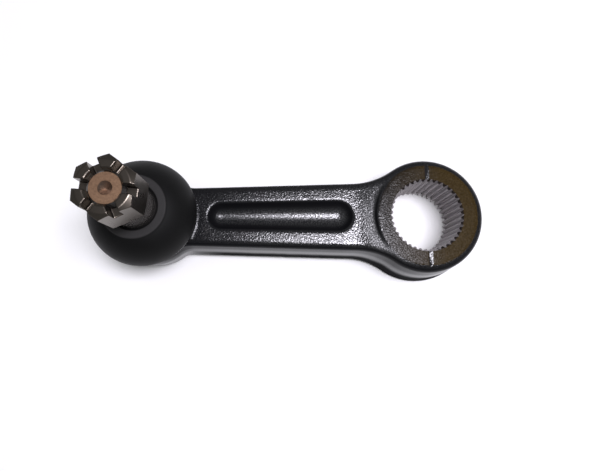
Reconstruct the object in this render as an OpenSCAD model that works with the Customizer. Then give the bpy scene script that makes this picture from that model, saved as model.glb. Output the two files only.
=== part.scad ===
// Pitman arm of a steering linkage: a drop-forged arm with a serrated eye at one end and a ball joint
// built into the other. The eye's axis is Z, the arm runs along -X, and the stud points up.
// Z = 0 is the mid-height of the eye.

/* [Eye] */
// Outside diameter of the eye at mid-height
eye_d = 58.6; // [54:0.1:66]
// Height of the eye over its two machined faces
eye_height = 28; // [26:0.5:34]
// Diameter of the machined flat on each face of the eye
eye_flat_d = 50; // [47:0.5:52]
// Radius of the eye's upper outer edge
eye_edge = 4; // [2:0.25:5]

/* [Serrations] */
// Number of serrations in the eye
spline_teeth = 40; // [36:1:42]
// Diameter over the tips of the serrations
spline_tip_d = 33.6; // [31:0.1:34]
// Depth of the serrations at the nut face
spline_depth = 1.15; // [0.6:0.05:1.4]
// Width of a tooth space at its mouth
spline_mouth_w = 1.74; // [1.3:0.02:1.9]
// Width of a tooth space at its root
spline_root_w = 0.5; // [0.3:0.05:0.8]
// Length over which the root diameter grows by 1, towards the gearbox face
spline_taper = 16; // [12:1:40]
// Width of the two index marks on the nut face
mark_w = 3; // [1:0.1:4]
// Depth of the index marks
mark_depth = 0.5; // [0.3:0.05:0.8]

/* [Shank] */
// Distance between the eye's axis and the ball joint's axis
centre_distance = 135.5; // [125:0.5:160]
// Thickness of the shank
shank_t = 22; // [20:0.5:25]
// Width of the shank, carried on to the ball joint's axis
shank_w_ball = 29.4; // [26:0.2:32]
// Width of the shank, carried on to the eye's axis
shank_w_eye = 38; // [34:0.2:40]
// Radius of the shank's upper long edges
shank_edge = 3; // [2:0.25:4]
// Radius of the bottom edge, along the trimmed parting line
parting_edge = 1.2; // [0.8:0.1:2]
// Draft angle of the die walls
draft = 7; // [2:0.5:9]
// Radius of the outline's fillets at the eye
eye_fillet = 34; // [24:1:40]
// Radius of the outline's fillets at the ball housing
housing_fillet = 12; // [8:0.5:16]

/* [Pocket] */
// Distance from the ball joint's axis to the pocket
pocket_from_ball = 29; // [28:0.5:36]
// Distance from the eye's axis to the pocket
pocket_from_eye = 36; // [33:0.5:42]
// Width of the pocket at its ball end
pocket_w_ball = 12.6; // [10:0.2:14]
// Width of the pocket at its eye end
pocket_w_eye = 15; // [12:0.2:17]
// Depth of the pocket
pocket_depth = 4.5; // [2.5:0.25:5.5]

/* [Ball housing] */
// Outside diameter of the housing at mid-height
housing_d = 46; // [45:0.5:52]
// Thickness of the housing's crown over the upper seat
crown_t = 3.5; // [3:0.25:5]
// Diameter of the neck that carries the boot
neck_d = 43; // [41:0.5:43.5]
// Height of the neck over the shoulder
neck_h = 3.9; // [3.6:0.1:5]
// Depth of the boot groove in the neck
boot_groove = 1.4; // [0.8:0.1:1.8]
// Thickness of the lip that is spun over the cover
lip_t = 0.6; // [0.4:0.05:0.8]
// Reach of the lip over the cover
lip_reach = 1.1; // [0.6:0.1:1.5]

/* [Ball stud] */
// Diameter of the ball
ball_d = 27; // [25:0.5:28]
// Diameter of the neck between the ball and the collar
stud_neck_d = 13; // [11:0.5:14]
// Diameter of the collar that the boot seals on
collar_d = 19; // [17:0.25:19.5]
// Height of the collar
collar_h = 8; // [6:0.5:10]
// Height of the taper
taper_h = 15; // [13:0.5:20]
// Length over which the taper's diameter shrinks by 1
taper_ratio = 8; // [6:0.5:12]
// Thread diameter of the stud
thread_d = 14; // [12:0.5:14]
// Bare thread between the taper and the nut
thread_spare = 0.9; // [0.6:0.1:3]
// Diameter of the centre hole in the stud's end
centre_d = 5.5; // [3:0.25:6]
// Chamfer on the stud's end
stud_chamfer = 0.95; // [0.5:0.05:1.5]
// Diameter of the split pin hole
pin_hole_d = 3.4; // [2.5:0.1:3.5]
// Distance from the stud's end to the split pin hole
pin_hole_drop = 5.5; // [5:0.25:8]
// Lean of the stud to each side
stud_lean = 18; // [10:1:18]

/* [Ball seats, spring and cover] */
// Wall of the ball seats beside the ball
seat_wall = 3.4; // [2.5:0.1:3.6]
// Floor of the lower seat under the ball
seat_floor = 2; // [1.5:0.1:3]
// Height of the upper seat over the ball's centre
seat_reach = 9; // [8.5:0.25:9.5]
// Thickness of the disc spring
spring_t = 0.7; // [0.5:0.05:0.9]
// Height of the disc spring as fitted
spring_h = 1.2; // [1:0.05:1.5]
// Thickness of the pressed cover
cover_t = 1.6; // [1.2:0.1:2]
// Width of the ledge that the cover seats on
cover_ledge = 1.4; // [1:0.1:1.6]
// Diameter of the hole in the disc spring
spring_bore = 15.2; // [13:0.2:18]
// Diameter of the cover's dish
dish_d = 22; // [18:0.5:24]

/* [Castle nut] */
// Width across the nut's flats
nut_af = 22; // [20:0.5:24]
// Height of the nut over its prongs
nut_h = 17.8; // [16:0.2:20]
// Depth of the slots
slot_depth = 6; // [5:0.25:7]
// Width of the slots
slot_w = 3.8; // [3.6:0.1:4.5]
// Turn of the nut on its thread
nut_turn = 24; // [0:1:59]
// Drop of the stud's end under the top of the prongs
stud_drop = 2.6; // [1:0.1:3.4]

/* [Dust boot] */
// Largest diameter of the boot
boot_d = 49.6; // [48.6:0.2:54]
// Height of the boot from its widest ring to its flat top
boot_h = 15; // [13:0.5:18]
// Diameter of the boot's flat top
boot_top_d = 28.2; // [27:0.2:31]
// Thickness of the boot's wall
boot_wall = 2.2; // [1.6:0.1:2.6]
// Depth of the recess between the flat top and the collar
boot_recess = 1.6; // [0.8:0.1:2]
// Diameter of the wire of the clamp ring
ring_wire = 1.6; // [1.2:0.1:1.8]
// Thickness of the neck ring's section
neck_ring_t = 1.6; // [1.2:0.1:1.8]
// Width of the neck ring's section
neck_ring_w = 1.6; // [1:0.1:1.8]
// Wall between the boot's bead and the clamp ring
bead_wall = 1.1; // [0.8:0.1:1.4]
// Height of the lip that seals on the collar
lip_h = 3.4; // [3:0.1:4]

/* [Fits] */
// Running clearance of the ball in its seats, on the radius
ball_clear = 0.05; // [0.02:0.01:0.1]
// Clearance between pieces that are fitted together
fit_clear = 0.05; // [0.02:0.01:0.1]
// Clearance between the boot and the forging or the stud
boot_clear = 0.08; // [0.05:0.01:0.1]
// Clearance under the boot's skirt
skirt_clear = 0.4; // [0.3:0.05:0.6]
// Room round the ball in the mouth of the housing
mouth_gap = 0.5; // [0.3:0.05:0.8]
// Room left beside the stud's neck at full lean
lean_gap = 0.6; // [0.3:0.05:0.8]

/* [Hidden] */
$fn = 96;
// Overlap that makes cuts clean
cut = 1;
// Points nearer than this are one point
same = 0.01;

// Heights, from the rest plane under the arm upwards
rest_z = -eye_height / 2;
face_z = eye_height / 2;
shank_z = shank_t / 2;
cover_z = rest_z + lip_t;
ledge_z = cover_z + cover_t;
seat_z = ledge_z + spring_h;
ball_z = seat_z + seat_floor + ball_clear + ball_d / 2;
crown_z = ball_z + seat_reach;
neck_z = crown_z + crown_t;
shoulder_z = neck_z - neck_h;

// Radii in the ball housing
ball_r = ball_d / 2;
cup_r = ball_r + ball_clear;
socket_r = cup_r + seat_wall + fit_clear;
ledge_r = socket_r + cover_ledge;
seat_mouth_r = sqrt(cup_r * cup_r - seat_reach * seat_reach);
mouth_r = seat_mouth_r + mouth_gap;
mouth_top_r = (neck_z - ball_z) * tan(stud_lean) + stud_neck_d / 2 / cos(stud_lean) + lean_gap;
neck_r = neck_d / 2;
groove_r = neck_r - boot_groove;

// Outline of the forging: a tapered shank between two round ends, all joined by tangent fillets
eye_r = eye_d / 2;
housing_r = housing_d / 2;
ball_x = -centre_distance;
edge_slope = (shank_w_eye - shank_w_ball) / 2 / centre_distance;
edge_angle = atan(edge_slope);
edge_dir = [cos(edge_angle), sin(edge_angle)];
edge_out = [-sin(edge_angle), cos(edge_angle)];

// Centre of the fillet of radius f between the shank's edge and the round end of radius r about [x, 0]
function fillet_centre(x, r, f, side) =
  let (
    q = [0, shank_w_eye / 2] + f * edge_out - [x, 0],
    along = q * edge_dir,
    reach = sqrt(along * along - q * q + (r + f) * (r + f))
  )
  [x, 0] + q + (side * reach - along) * edge_dir;

eye_fillet_c = fillet_centre(0, eye_r, eye_fillet, -1);
housing_fillet_c = fillet_centre(ball_x, housing_r, housing_fillet, 1);
eye_touch = eye_fillet_c * eye_r / (eye_r + eye_fillet);
housing_touch_a = atan2(housing_fillet_c.y, housing_fillet_c.x - ball_x);
eye_touch_a = atan2(eye_fillet_c.y, eye_fillet_c.x);
housing_touch_x = ball_x + housing_r * cos(housing_touch_a);

// Points [x, y, outward normal x, outward normal y] on an arc; way is -1 where the outside is its centre
function arc_points(c, r, from, to, n, way = 1) = [
  for (i = [0:n - 1])
    let (a = from + (to - from) * i / (n - 1))
      [c.x + r * cos(a), c.y + r * sin(a), way * cos(a), way * sin(a)]
];

// One side of the outline, from the back of the housing to the front of the eye
half_outline = concat(
  arc_points([ball_x, 0], housing_r, 180, housing_touch_a, 20),
  arc_points(housing_fillet_c, housing_fillet, housing_touch_a - 180, edge_angle - 90, 8, -1),
  arc_points(eye_fillet_c, eye_fillet, edge_angle - 90, eye_touch_a - 180, 12, -1),
  arc_points([0, 0], eye_r, eye_touch_a, 0, 24)
);
// Neighbouring arcs share their end points, so the second of each pair is left out
side_points = [
  for (i = [0:len(half_outline) - 1])
    if (i == 0 || norm([half_outline[i].x, half_outline[i].y]
        - [half_outline[i - 1].x, half_outline[i - 1].y]) > same)
      half_outline[i]
];
side_n = len(side_points);
ring_n = 2 * side_n - 2;

// Share of a rise that is done at x, smooth at both ends
function ease(x, from, to) =
  let (t = max(0, min(1, (x - from) / (to - from))))
    t * t * (3 - 2 * t);
// Share of the eye's and of the housing's own form at x
function eye_share(x) = ease(x, eye_fillet_c.x, eye_touch.x);
function housing_share(x) = ease(x, housing_fillet_c.x, housing_touch_x);

// The machined faces and the crown stand a little over the forged skin
skin_drop = 0.2;
housing_edge = 1.5;
function skin_top(x) = shank_z + eye_share(x) * (face_z - skin_drop - shank_z)
  + housing_share(x) * (shoulder_z - skin_drop - shank_z);
function skin_bottom(x) = shank_z + (eye_share(x) + housing_share(x)) * (face_z - skin_drop - shank_z);
function skin_edge(x) = shank_edge + eye_share(x) * (eye_edge - shank_edge)
  + housing_share(x) * (housing_edge - shank_edge);

// Share of the draft by which the wall leans out below mid-height: all of it down to the parting line along
// the bottom of the shank and the eye, while the housing's wall leans in
housing_lean = -0.5;
function low_lean(x) = 1 + housing_share(x) * (housing_lean - 1);

// Rows of the skin from the bottom face to the top face: [side of mid-height, angle on the edge]
edge_steps = 5;
skin_rows = concat(
  [for (k = [0:edge_steps]) [-1, 90 * k / edge_steps]],
  [[0, 90]],
  [for (k = [edge_steps:-1:0]) [1, 90 * k / edge_steps]]
);
row_n = len(skin_rows);

// One point of the skin: p is a point of the outline, row says how far up the wall it lies
function skin_point(p, row) =
  let (
    low = row[0] < 0,
    h = low ? skin_bottom(p.x) : skin_top(p.x),
    e = low ? parting_edge : skin_edge(p.x),
    lean = low ? -low_lean(p.x) : row[0],
    inset = lean * (h - e) * tan(draft) + e * (1 - sin(row[1])),
    z = row[0] * (h - e * (1 - cos(row[1])))
  )
  [p.x - p[2] * inset, p.y - p[3] * inset, z];

// Place in a ring of a side's point i, and of its mirror image on the other side
function mirrored(i) = (i == 0 || i == side_n - 1) ? i : ring_n - i;

module forged_skin() {
  ring = concat(side_points, [
    for (i = [side_n - 2:-1:1])
      [side_points[i].x, -side_points[i].y, side_points[i][2], -side_points[i][3]]
  ]);
  points = [for (row = skin_rows) for (p = ring) skin_point(p, row)];
  wall = [
    for (k = [0:row_n - 2]) for (j = [0:ring_n - 1])
      let (a = k * ring_n + j, b = k * ring_n + (j + 1) % ring_n)
        each [[a, b, b + ring_n], [a, b + ring_n, a + ring_n]]
  ];
  last = (row_n - 1) * ring_n;
  caps = [
    for (i = [0:side_n - 2])
      let (
        low = [i, i + 1, mirrored(i + 1), mirrored(i)],
        face = i == 0 ? [low[0], low[1], low[2]] : i == side_n - 2 ? [low[0], low[1], low[3]] : low
      )
      each [[for (v = [len(face) - 1:-1:0]) face[v]], [for (v = face) v + last]]
  ];
  polyhedron(points, concat(wall, caps));
}

// Flat plan of the shank's top face, which keeps the foot of the crown on the shank
module top_face_plan() {
  inset = (shank_z - shank_edge) * tan(draft) + shank_edge;
  near = [for (p = side_points) [p.x - p[2] * inset, p.y - p[3] * inset]];
  polygon(concat(near, [for (i = [side_n - 2:-1:1]) [near[i].x, -near[i].y]]));
}

// Profile of a round boss: flat top of radius r at height z, with a foot that flares out by foot
function boss_profile(r, z, low, foot, round, steps = 6) = concat(
  [[0, low], [r + foot, low], [r + foot, z - round - foot]],
  [for (i = [steps - 1:-1:0])
      let (a = 90 * i / steps) [r + foot - foot * cos(a), z - round - foot * (1 - sin(a))]],
  [for (i = [1:steps]) let (a = 90 * i / steps) [r - round * (1 - cos(a)), z - round + round * sin(a)]],
  [[0, z]]
);

eye_foot = 2.2;
eye_round = 0.6;
boss_low = 5;
module eye_boss() {
  profile = boss_profile(eye_flat_d / 2, face_z, boss_low, eye_foot, eye_round);
  rotate_extrude() polygon(profile);
  mirror([0, 0, 1]) rotate_extrude() polygon(profile);
}

crown_foot = 2.6;
crown_round = 0.1;
crown_step = 0.9;
crown_r = housing_r - crown_step;
module housing_crown() {
  translate([ball_x, 0, 0]) {
    cylinder(h = shoulder_z, r = crown_r);
    cylinder(h = neck_z, r = neck_r);
    translate([0, 0, rest_z]) cylinder(h = -rest_z, r = housing_r - eye_edge);
  }
  intersection() {
    translate([ball_x, 0, 0])
      rotate_extrude() polygon(boss_profile(crown_r, shank_z + crown_foot, 0, crown_foot, crown_round));
    linear_extrude(height = face_z) top_face_plan();
  }
}

// Serrations: straight tooth tips, with roots that open towards the gearbox face
tip_r = spline_tip_d / 2;
root_tilt = atan(1 / (2 * spline_taper));
root_mid = tip_r + spline_depth + face_z * tan(root_tilt);
chamfer_over = 0.2;
mouth_chamfer = spline_depth + chamfer_over;
gear_chamfer = 0.8;
module tooth_space() {
  inner = tip_r - cut;
  profile = [
    [inner, -spline_mouth_w / 2], [tip_r, -spline_mouth_w / 2], [root_mid, -spline_root_w / 2],
    [root_mid, spline_root_w / 2], [tip_r, spline_mouth_w / 2], [inner, spline_mouth_w / 2]
  ];
  rotate([0, -root_tilt, 0])
    linear_extrude(height = eye_height + 4 * cut, center = true) polygon(profile);
}

module spline_bore() {
  cylinder(h = eye_height + 2 * cut, r = tip_r, center = true);
  for (i = [0:spline_teeth - 1]) rotate([0, 0, 360 * (i + 0.5) / spline_teeth]) tooth_space();
  translate([0, 0, face_z - mouth_chamfer])
    cylinder(h = mouth_chamfer + cut, r1 = tip_r, r2 = tip_r + mouth_chamfer + cut);
  translate([0, 0, rest_z - cut])
    cylinder(h = gear_chamfer + cut, r1 = tip_r + gear_chamfer + cut, r2 = tip_r);
}

// Two index marks across the nut face, for lining the arm up with its shaft, each a shallow chisel cut
// with a steep flank on the ball joint's side
mark_stop = tip_r + spline_depth / 3;
mark_steep = 0.27;
module index_marks() {
  cut_share = 1 + cut / mark_depth;
  for (side = [-1, 1])
    translate([0, side * (mark_stop + eye_r) / 2, face_z - mark_depth]) rotate([90, 0, 0])
      linear_extrude(height = eye_r - mark_stop, center = true) polygon([
        [0, 0], [(1 - mark_steep) * mark_w * cut_share, mark_depth * cut_share],
        [-mark_steep * mark_w * cut_share, mark_depth * cut_share]
      ]);
}

// Long pocket with a round section and round ends, as wide at each end as its mouth asks
function trough_r(w) = (w * w / 4 + pocket_depth * pocket_depth) / (2 * pocket_depth);
module pocket(steps = 10) {
  r0 = trough_r(pocket_w_ball);
  r1 = trough_r(pocket_w_eye);
  from = [ball_x + pocket_from_ball + pocket_w_ball / 2, shank_z - pocket_depth + r0];
  to = [-pocket_from_eye - pocket_w_eye / 2, shank_z - pocket_depth + r1];
  run = norm(to - from);
  lean = asin((r1 - r0) / run);
  rise = atan2(to.y - from.y, to.x - from.x);
  profile = concat(
    [for (i = [0:steps]) let (a = -90 + (90 - lean) * i / steps) [r0 * cos(a), r0 * sin(a)]],
    [for (i = [0:steps]) let (a = -lean + (90 + lean) * i / steps) [r1 * cos(a), run + r1 * sin(a)]]
  );
  translate([from.x, 0, from.y]) rotate([0, 90 - rise, 0])
    rotate_extrude() polygon([for (p = profile) [max(0, p.x), p.y]]);
}

// Room for the seats, the spring and the cover, bored from below, and the stud's mouth above
module socket() {
  translate([ball_x, 0, 0]) {
    translate([0, 0, cover_z]) cylinder(h = ledge_z - cover_z, r = ledge_r);
    translate([0, 0, ledge_z - cut]) cylinder(h = crown_z - ledge_z + cut, r = socket_r);
    translate([0, 0, rest_z - cut])
      cylinder(h = lip_t + 2 * cut, r = ledge_r - lip_reach);
    translate([0, 0, crown_z - cut]) cylinder(h = 2 * cut, r = mouth_r);
    translate([0, 0, crown_z])
      cylinder(h = crown_t, r1 = mouth_r, r2 = mouth_top_r);
    translate([0, 0, neck_z - same]) cylinder(h = cut, r = mouth_top_r);
  }
}

// Groove round the neck that the boot's bead snaps into
groove_h = 1.9;
groove_rise = 1;
groove_z = shoulder_z + groove_rise;
module neck_groove() {
  translate([ball_x, 0, groove_z]) difference() {
    cylinder(h = groove_h, r = neck_r + cut);
    translate([0, 0, -cut]) cylinder(h = groove_h + 2 * cut, r = groove_r);
  }
}

module pitman_arm() color("#26262a") difference() {
  union() {
    forged_skin();
    eye_boss();
    housing_crown();
  }
  spline_bore();
  index_marks();
  pocket();
  mirror([0, 0, 1]) pocket();
  socket();
  neck_groove();
}

// Half the angle of one flat of the hexagon
half_flat = 30;

// Heights of the stud above the ball
skirt_z = shoulder_z + skirt_clear;
boot_wide_z = neck_z;
boot_top_z = boot_wide_z + boot_h;
collar_stand = 0.4;
collar_top_z = boot_top_z + collar_stand;
collar_z = collar_top_z - collar_h;
taper_top_z = collar_top_z + taper_h;
nut_z = taper_top_z + thread_spare;
nut_top_z = nut_z + nut_h;
stud_top_z = nut_top_z - stud_drop;
collar_r = collar_d / 2;
taper_top_r = collar_r - taper_h / taper_ratio / 2;
thread_r = thread_d / 2;
stud_neck_r = stud_neck_d / 2;
thread_relief = 0.5;
centre_depth = centre_d / 2;

// Turned stud: ball, neck, collar, taper and thread, with a centre hole and a split pin hole
module ball_stud() color("#8d8a86") translate([ball_x, 0, 0]) difference() {
  union() {
    translate([0, 0, ball_z]) sphere(r = ball_r);
    rotate_extrude() polygon([
      [0, ball_z], [stud_neck_r, ball_z], [stud_neck_r, collar_z - (collar_r - stud_neck_r)],
      [collar_r, collar_z], [collar_r, collar_top_z], [taper_top_r, taper_top_z],
      [thread_r, taper_top_z + thread_relief], [thread_r, stud_top_z - stud_chamfer],
      [thread_r - stud_chamfer, stud_top_z], [0, stud_top_z]
    ]);
  }
  translate([0, 0, stud_top_z - centre_depth])
    cylinder(h = centre_depth + cut, r1 = 0, r2 = centre_depth + cut);
  translate([0, 0, stud_top_z - pin_hole_drop]) rotate([0, 90, nut_turn + half_flat])
    cylinder(h = 2 * thread_d, d = pin_hole_d, center = true);
}

// Hexagon nut with a slot in the middle of each flat, so that six prongs stand at its corners
nut_bore_r = thread_r + fit_clear;
nut_corner_r = nut_af / 2 / cos(half_flat);
nut_lead = 1.1;
nut_over = 0.2;
nut_foot = [0.3, 0.85];
nut_crown = [0.9, 1.5];
module castle_nut() color("#3c3a35") translate([ball_x, 0, nut_z]) rotate([0, 0, nut_turn]) difference() {
  intersection() {
    cylinder(h = nut_h, r = nut_corner_r, $fn = 6);
    rotate_extrude() polygon([
      [0, 0], [nut_af / 2 - nut_foot.x, 0], [nut_corner_r + nut_over, nut_foot.y],
      [nut_corner_r + nut_over, nut_h - nut_crown.y], [nut_af / 2 - nut_crown.x, nut_h], [0, nut_h]
    ]);
  }
  translate([0, 0, -cut]) cylinder(h = nut_h + 2 * cut, r = nut_bore_r);
  translate([0, 0, -cut]) cylinder(h = nut_lead + cut, r1 = nut_bore_r + nut_lead + cut, r2 = nut_bore_r);
  for (i = [0:2]) rotate([0, 0, (2 * i + 1) * half_flat])
    translate([-nut_af, -slot_w / 2, nut_h - slot_depth]) cube([2 * nut_af, slot_w, slot_depth + cut]);
}

// Point at t on a cubic curve through four handles
function bezier(p, t) = pow(1 - t, 3) * p[0] + 3 * t * pow(1 - t, 2) * p[1]
  + 3 * t * t * (1 - t) * p[2] + pow(t, 3) * p[3];

// Sections of the boot
boot_r = boot_d / 2;
boot_top_r = boot_top_d / 2;
boot_bore_r = collar_r + boot_clear;
lip_wall = 1.1;
lip_round = 0.3;
recess_r = boot_bore_r + lip_wall;
ring_z = groove_z + groove_h / 2;
ring_seat_r = neck_r + boot_clear + bead_wall;
ring_r = ring_seat_r + ring_wire / 2 + fit_clear;
neck_ring_mid = (recess_r + boot_top_r) / 2;
neck_ring_r0 = neck_ring_mid - neck_ring_w / 2;
neck_ring_r1 = neck_ring_mid + neck_ring_w / 2;
neck_ring_z = boot_top_z - lip_h;
// Handles of the dome, as shares of its height and of its run
dome_low = 0.44;
dome_high = 0.8;
dome_run = 0.5;
dome_steps = 16;
dome_in_r = boot_r - boot_wall;
dome_out = [
  [boot_r, boot_wide_z], [boot_r, boot_wide_z + dome_low * boot_h],
  [boot_top_r + dome_run * (boot_r - boot_top_r), boot_wide_z + dome_high * boot_h],
  [boot_top_r, boot_top_z - lip_round]
];
dome_in = [
  [neck_ring_r1 + lip_round, boot_top_z - lip_h],
  [boot_top_r + dome_run * (dome_in_r - boot_top_r), boot_wide_z + dome_high * boot_h - boot_wall],
  [dome_in_r, boot_wide_z + dome_low * boot_h], [dome_in_r, boot_wide_z + boot_clear]
];

// Moulded rubber boot: bead in the neck's groove, domed wall, flat top and a lip on the stud's collar
module dust_boot() color("#1d1d1f") translate([ball_x, 0, 0]) difference() {
  rotate_extrude() polygon(concat(
    [[neck_r + boot_clear, skirt_z], [ring_seat_r + bead_wall, skirt_z], [ring_r, ring_z + ring_wire / 2]],
    [for (i = [0:dome_steps]) bezier(dome_out, i / dome_steps)],
    [[boot_top_r - lip_round, boot_top_z], [recess_r, boot_top_z], [recess_r, boot_top_z - boot_recess],
     [boot_bore_r, boot_top_z - boot_recess - lip_round], [boot_bore_r, boot_top_z - lip_h - 2 * lip_round],
     [neck_ring_r0 - lip_round, boot_top_z - lip_h]],
    [for (i = [0:dome_steps]) bezier(dome_in, i / dome_steps)],
    [[neck_r + boot_clear, neck_z + boot_clear], [neck_r + boot_clear, groove_z + groove_h - boot_clear],
     [groove_r + boot_clear, groove_z + groove_h - boot_clear],
     [groove_r + boot_clear, groove_z + boot_clear], [neck_r + boot_clear, groove_z + boot_clear]]
  ));
  translate([0, 0, neck_ring_z - cut]) difference() {
    cylinder(h = neck_ring_t + cut + fit_clear, r = neck_ring_r1 + fit_clear);
    translate([0, 0, -cut]) cylinder(h = neck_ring_t + 4 * cut, r = neck_ring_r0 - fit_clear);
  }
  rotate_extrude() translate([ring_r, ring_z]) circle(r = ring_wire / 2 + fit_clear, $fn = 48);
}

// Wire ring that holds the boot's bead in the neck's groove
module boot_clamp_ring() color("#9a9a98") translate([ball_x, 0, ring_z])
  rotate_extrude() translate([ring_r, 0]) circle(d = ring_wire, $fn = 48);

// Steel ring that stiffens the boot's top round the collar
module boot_neck_ring() color("#9a9a98") translate([ball_x, 0, neck_ring_z]) difference() {
  cylinder(h = neck_ring_t, r = neck_ring_r1);
  translate([0, 0, -cut]) cylinder(h = neck_ring_t + 2 * cut, r = neck_ring_r0);
}

// Half seats that carry the ball, with a gap between them at its equator
seat_gap = 0.4;
seat_r = socket_r - fit_clear;
module upper_ball_seat() color("#d8d2c0") translate([ball_x, 0, 0]) difference() {
  translate([0, 0, ball_z + seat_gap / 2])
    cylinder(h = seat_reach - seat_gap / 2 - fit_clear, r = seat_r);
  translate([0, 0, ball_z]) sphere(r = cup_r);
}

module lower_ball_seat() color("#d8d2c0") translate([ball_x, 0, 0]) difference() {
  translate([0, 0, seat_z]) cylinder(h = ball_z - seat_gap / 2 - seat_z, r = seat_r);
  translate([0, 0, ball_z]) sphere(r = cup_r);
}

// Disc spring that presses the lower seat up against the ball
spring_inset = 2.5;
spring_r0 = spring_bore / 2;
spring_r1 = seat_r - spring_inset;
module preload_spring() color("#6d7076") translate([ball_x, 0, ledge_z])
  rotate_extrude() polygon([
    [spring_r1, fit_clear], [spring_r1, fit_clear + spring_t],
    [spring_r0, spring_h - fit_clear], [spring_r0, spring_h - fit_clear - spring_t]
  ]);

// Pressed cover with a shallow dish, held on its ledge by the spun lip
dish_r = dish_d / 2;
dish_lift = 0.25;
dish_depth = lip_t - dish_lift;
dish_bend = 1.5;
dish_step = 0.5;
module end_cover() color("#55575a") translate([ball_x, 0, cover_z])
  rotate_extrude() polygon([
    [0, -dish_depth], [dish_r, -dish_depth], [dish_r + dish_bend, fit_clear],
    [ledge_r - fit_clear, fit_clear], [ledge_r - fit_clear, cover_t],
    [dish_r + dish_bend - dish_step, cover_t],
    [dish_r - dish_step, cover_t - dish_depth],
    [0, cover_t - dish_depth]
  ]);

pitman_arm();
ball_stud();
castle_nut();
dust_boot();
boot_clamp_ring();
boot_neck_ring();
upper_ball_seat();
lower_ball_seat();
preload_spring();
end_cover();
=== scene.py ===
import math

import bmesh
import bpy
import numpy as np
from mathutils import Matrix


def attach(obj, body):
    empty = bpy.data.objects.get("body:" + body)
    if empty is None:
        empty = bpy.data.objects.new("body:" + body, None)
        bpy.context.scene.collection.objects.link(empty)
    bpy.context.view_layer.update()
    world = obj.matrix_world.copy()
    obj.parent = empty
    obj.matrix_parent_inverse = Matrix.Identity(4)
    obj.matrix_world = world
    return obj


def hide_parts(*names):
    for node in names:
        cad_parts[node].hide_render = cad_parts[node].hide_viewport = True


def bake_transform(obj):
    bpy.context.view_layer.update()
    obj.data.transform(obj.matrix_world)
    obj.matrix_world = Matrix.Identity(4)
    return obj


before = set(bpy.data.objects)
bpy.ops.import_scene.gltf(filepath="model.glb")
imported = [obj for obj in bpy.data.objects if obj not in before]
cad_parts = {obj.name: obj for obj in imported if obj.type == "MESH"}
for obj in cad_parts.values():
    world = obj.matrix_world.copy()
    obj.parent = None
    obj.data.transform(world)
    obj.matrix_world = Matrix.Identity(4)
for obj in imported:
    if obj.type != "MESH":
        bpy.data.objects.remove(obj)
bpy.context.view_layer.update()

bl_info = {
    "name": "Pitman arm",
    "version": (1, 0, 0),
    "blender": (4, 5, 0),
    "location": "View3D > Sidebar > Pitman arm",
    "description": "Forged pitman arm with a serrated eye and a ball joint",
    "category": "Add Mesh",
}

MM = 0.001
# Clearances: of the ball in its seats, between fitted pieces, and of the boot on what it seals on
BALL_CLEAR = 0.05 * MM
FIT_CLEAR = 0.05 * MM
BOOT_CLEAR = 0.08 * MM
# How far a cutting tool reaches past the face that it cuts
OVERCUT = 1 * MM
# Points nearer than this are one point
WELD = 0.002 * MM


def linear(code):
    """Linear RGBA of an sRGB hex colour."""
    parts = [int(code[i : i + 2], 16) / 255 for i in (1, 3, 5)]
    return tuple(c / 12.92 if c <= 0.04045 else ((c + 0.055) / 1.055) ** 2.4 for c in parts) + (1.0,)


def toned(tint, share):
    """A colour made darker or lighter by share."""
    return tuple(min(1, share * v) for v in tint[:3]) + (1,)


def number(name, value, text, **settings):
    """A number property with its default."""
    return bpy.props.FloatProperty(name=name, description=text, default=value, **settings)


def length(name, mm, text):
    """A length property whose default is given in millimetres."""
    return number(name, mm * MM, text, precision=5, unit="LENGTH", subtype="DISTANCE")


def angle(name, degrees, text):
    """An angle property whose default is given in degrees."""
    return number(name, math.radians(degrees), text, subtype="ANGLE")


def colour(name, code, text):
    """A colour property whose default is an sRGB hex value."""
    return bpy.props.FloatVectorProperty(
        name=name, description=text, default=linear(code), size=4, min=0, max=1, subtype="COLOR"
    )


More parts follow.
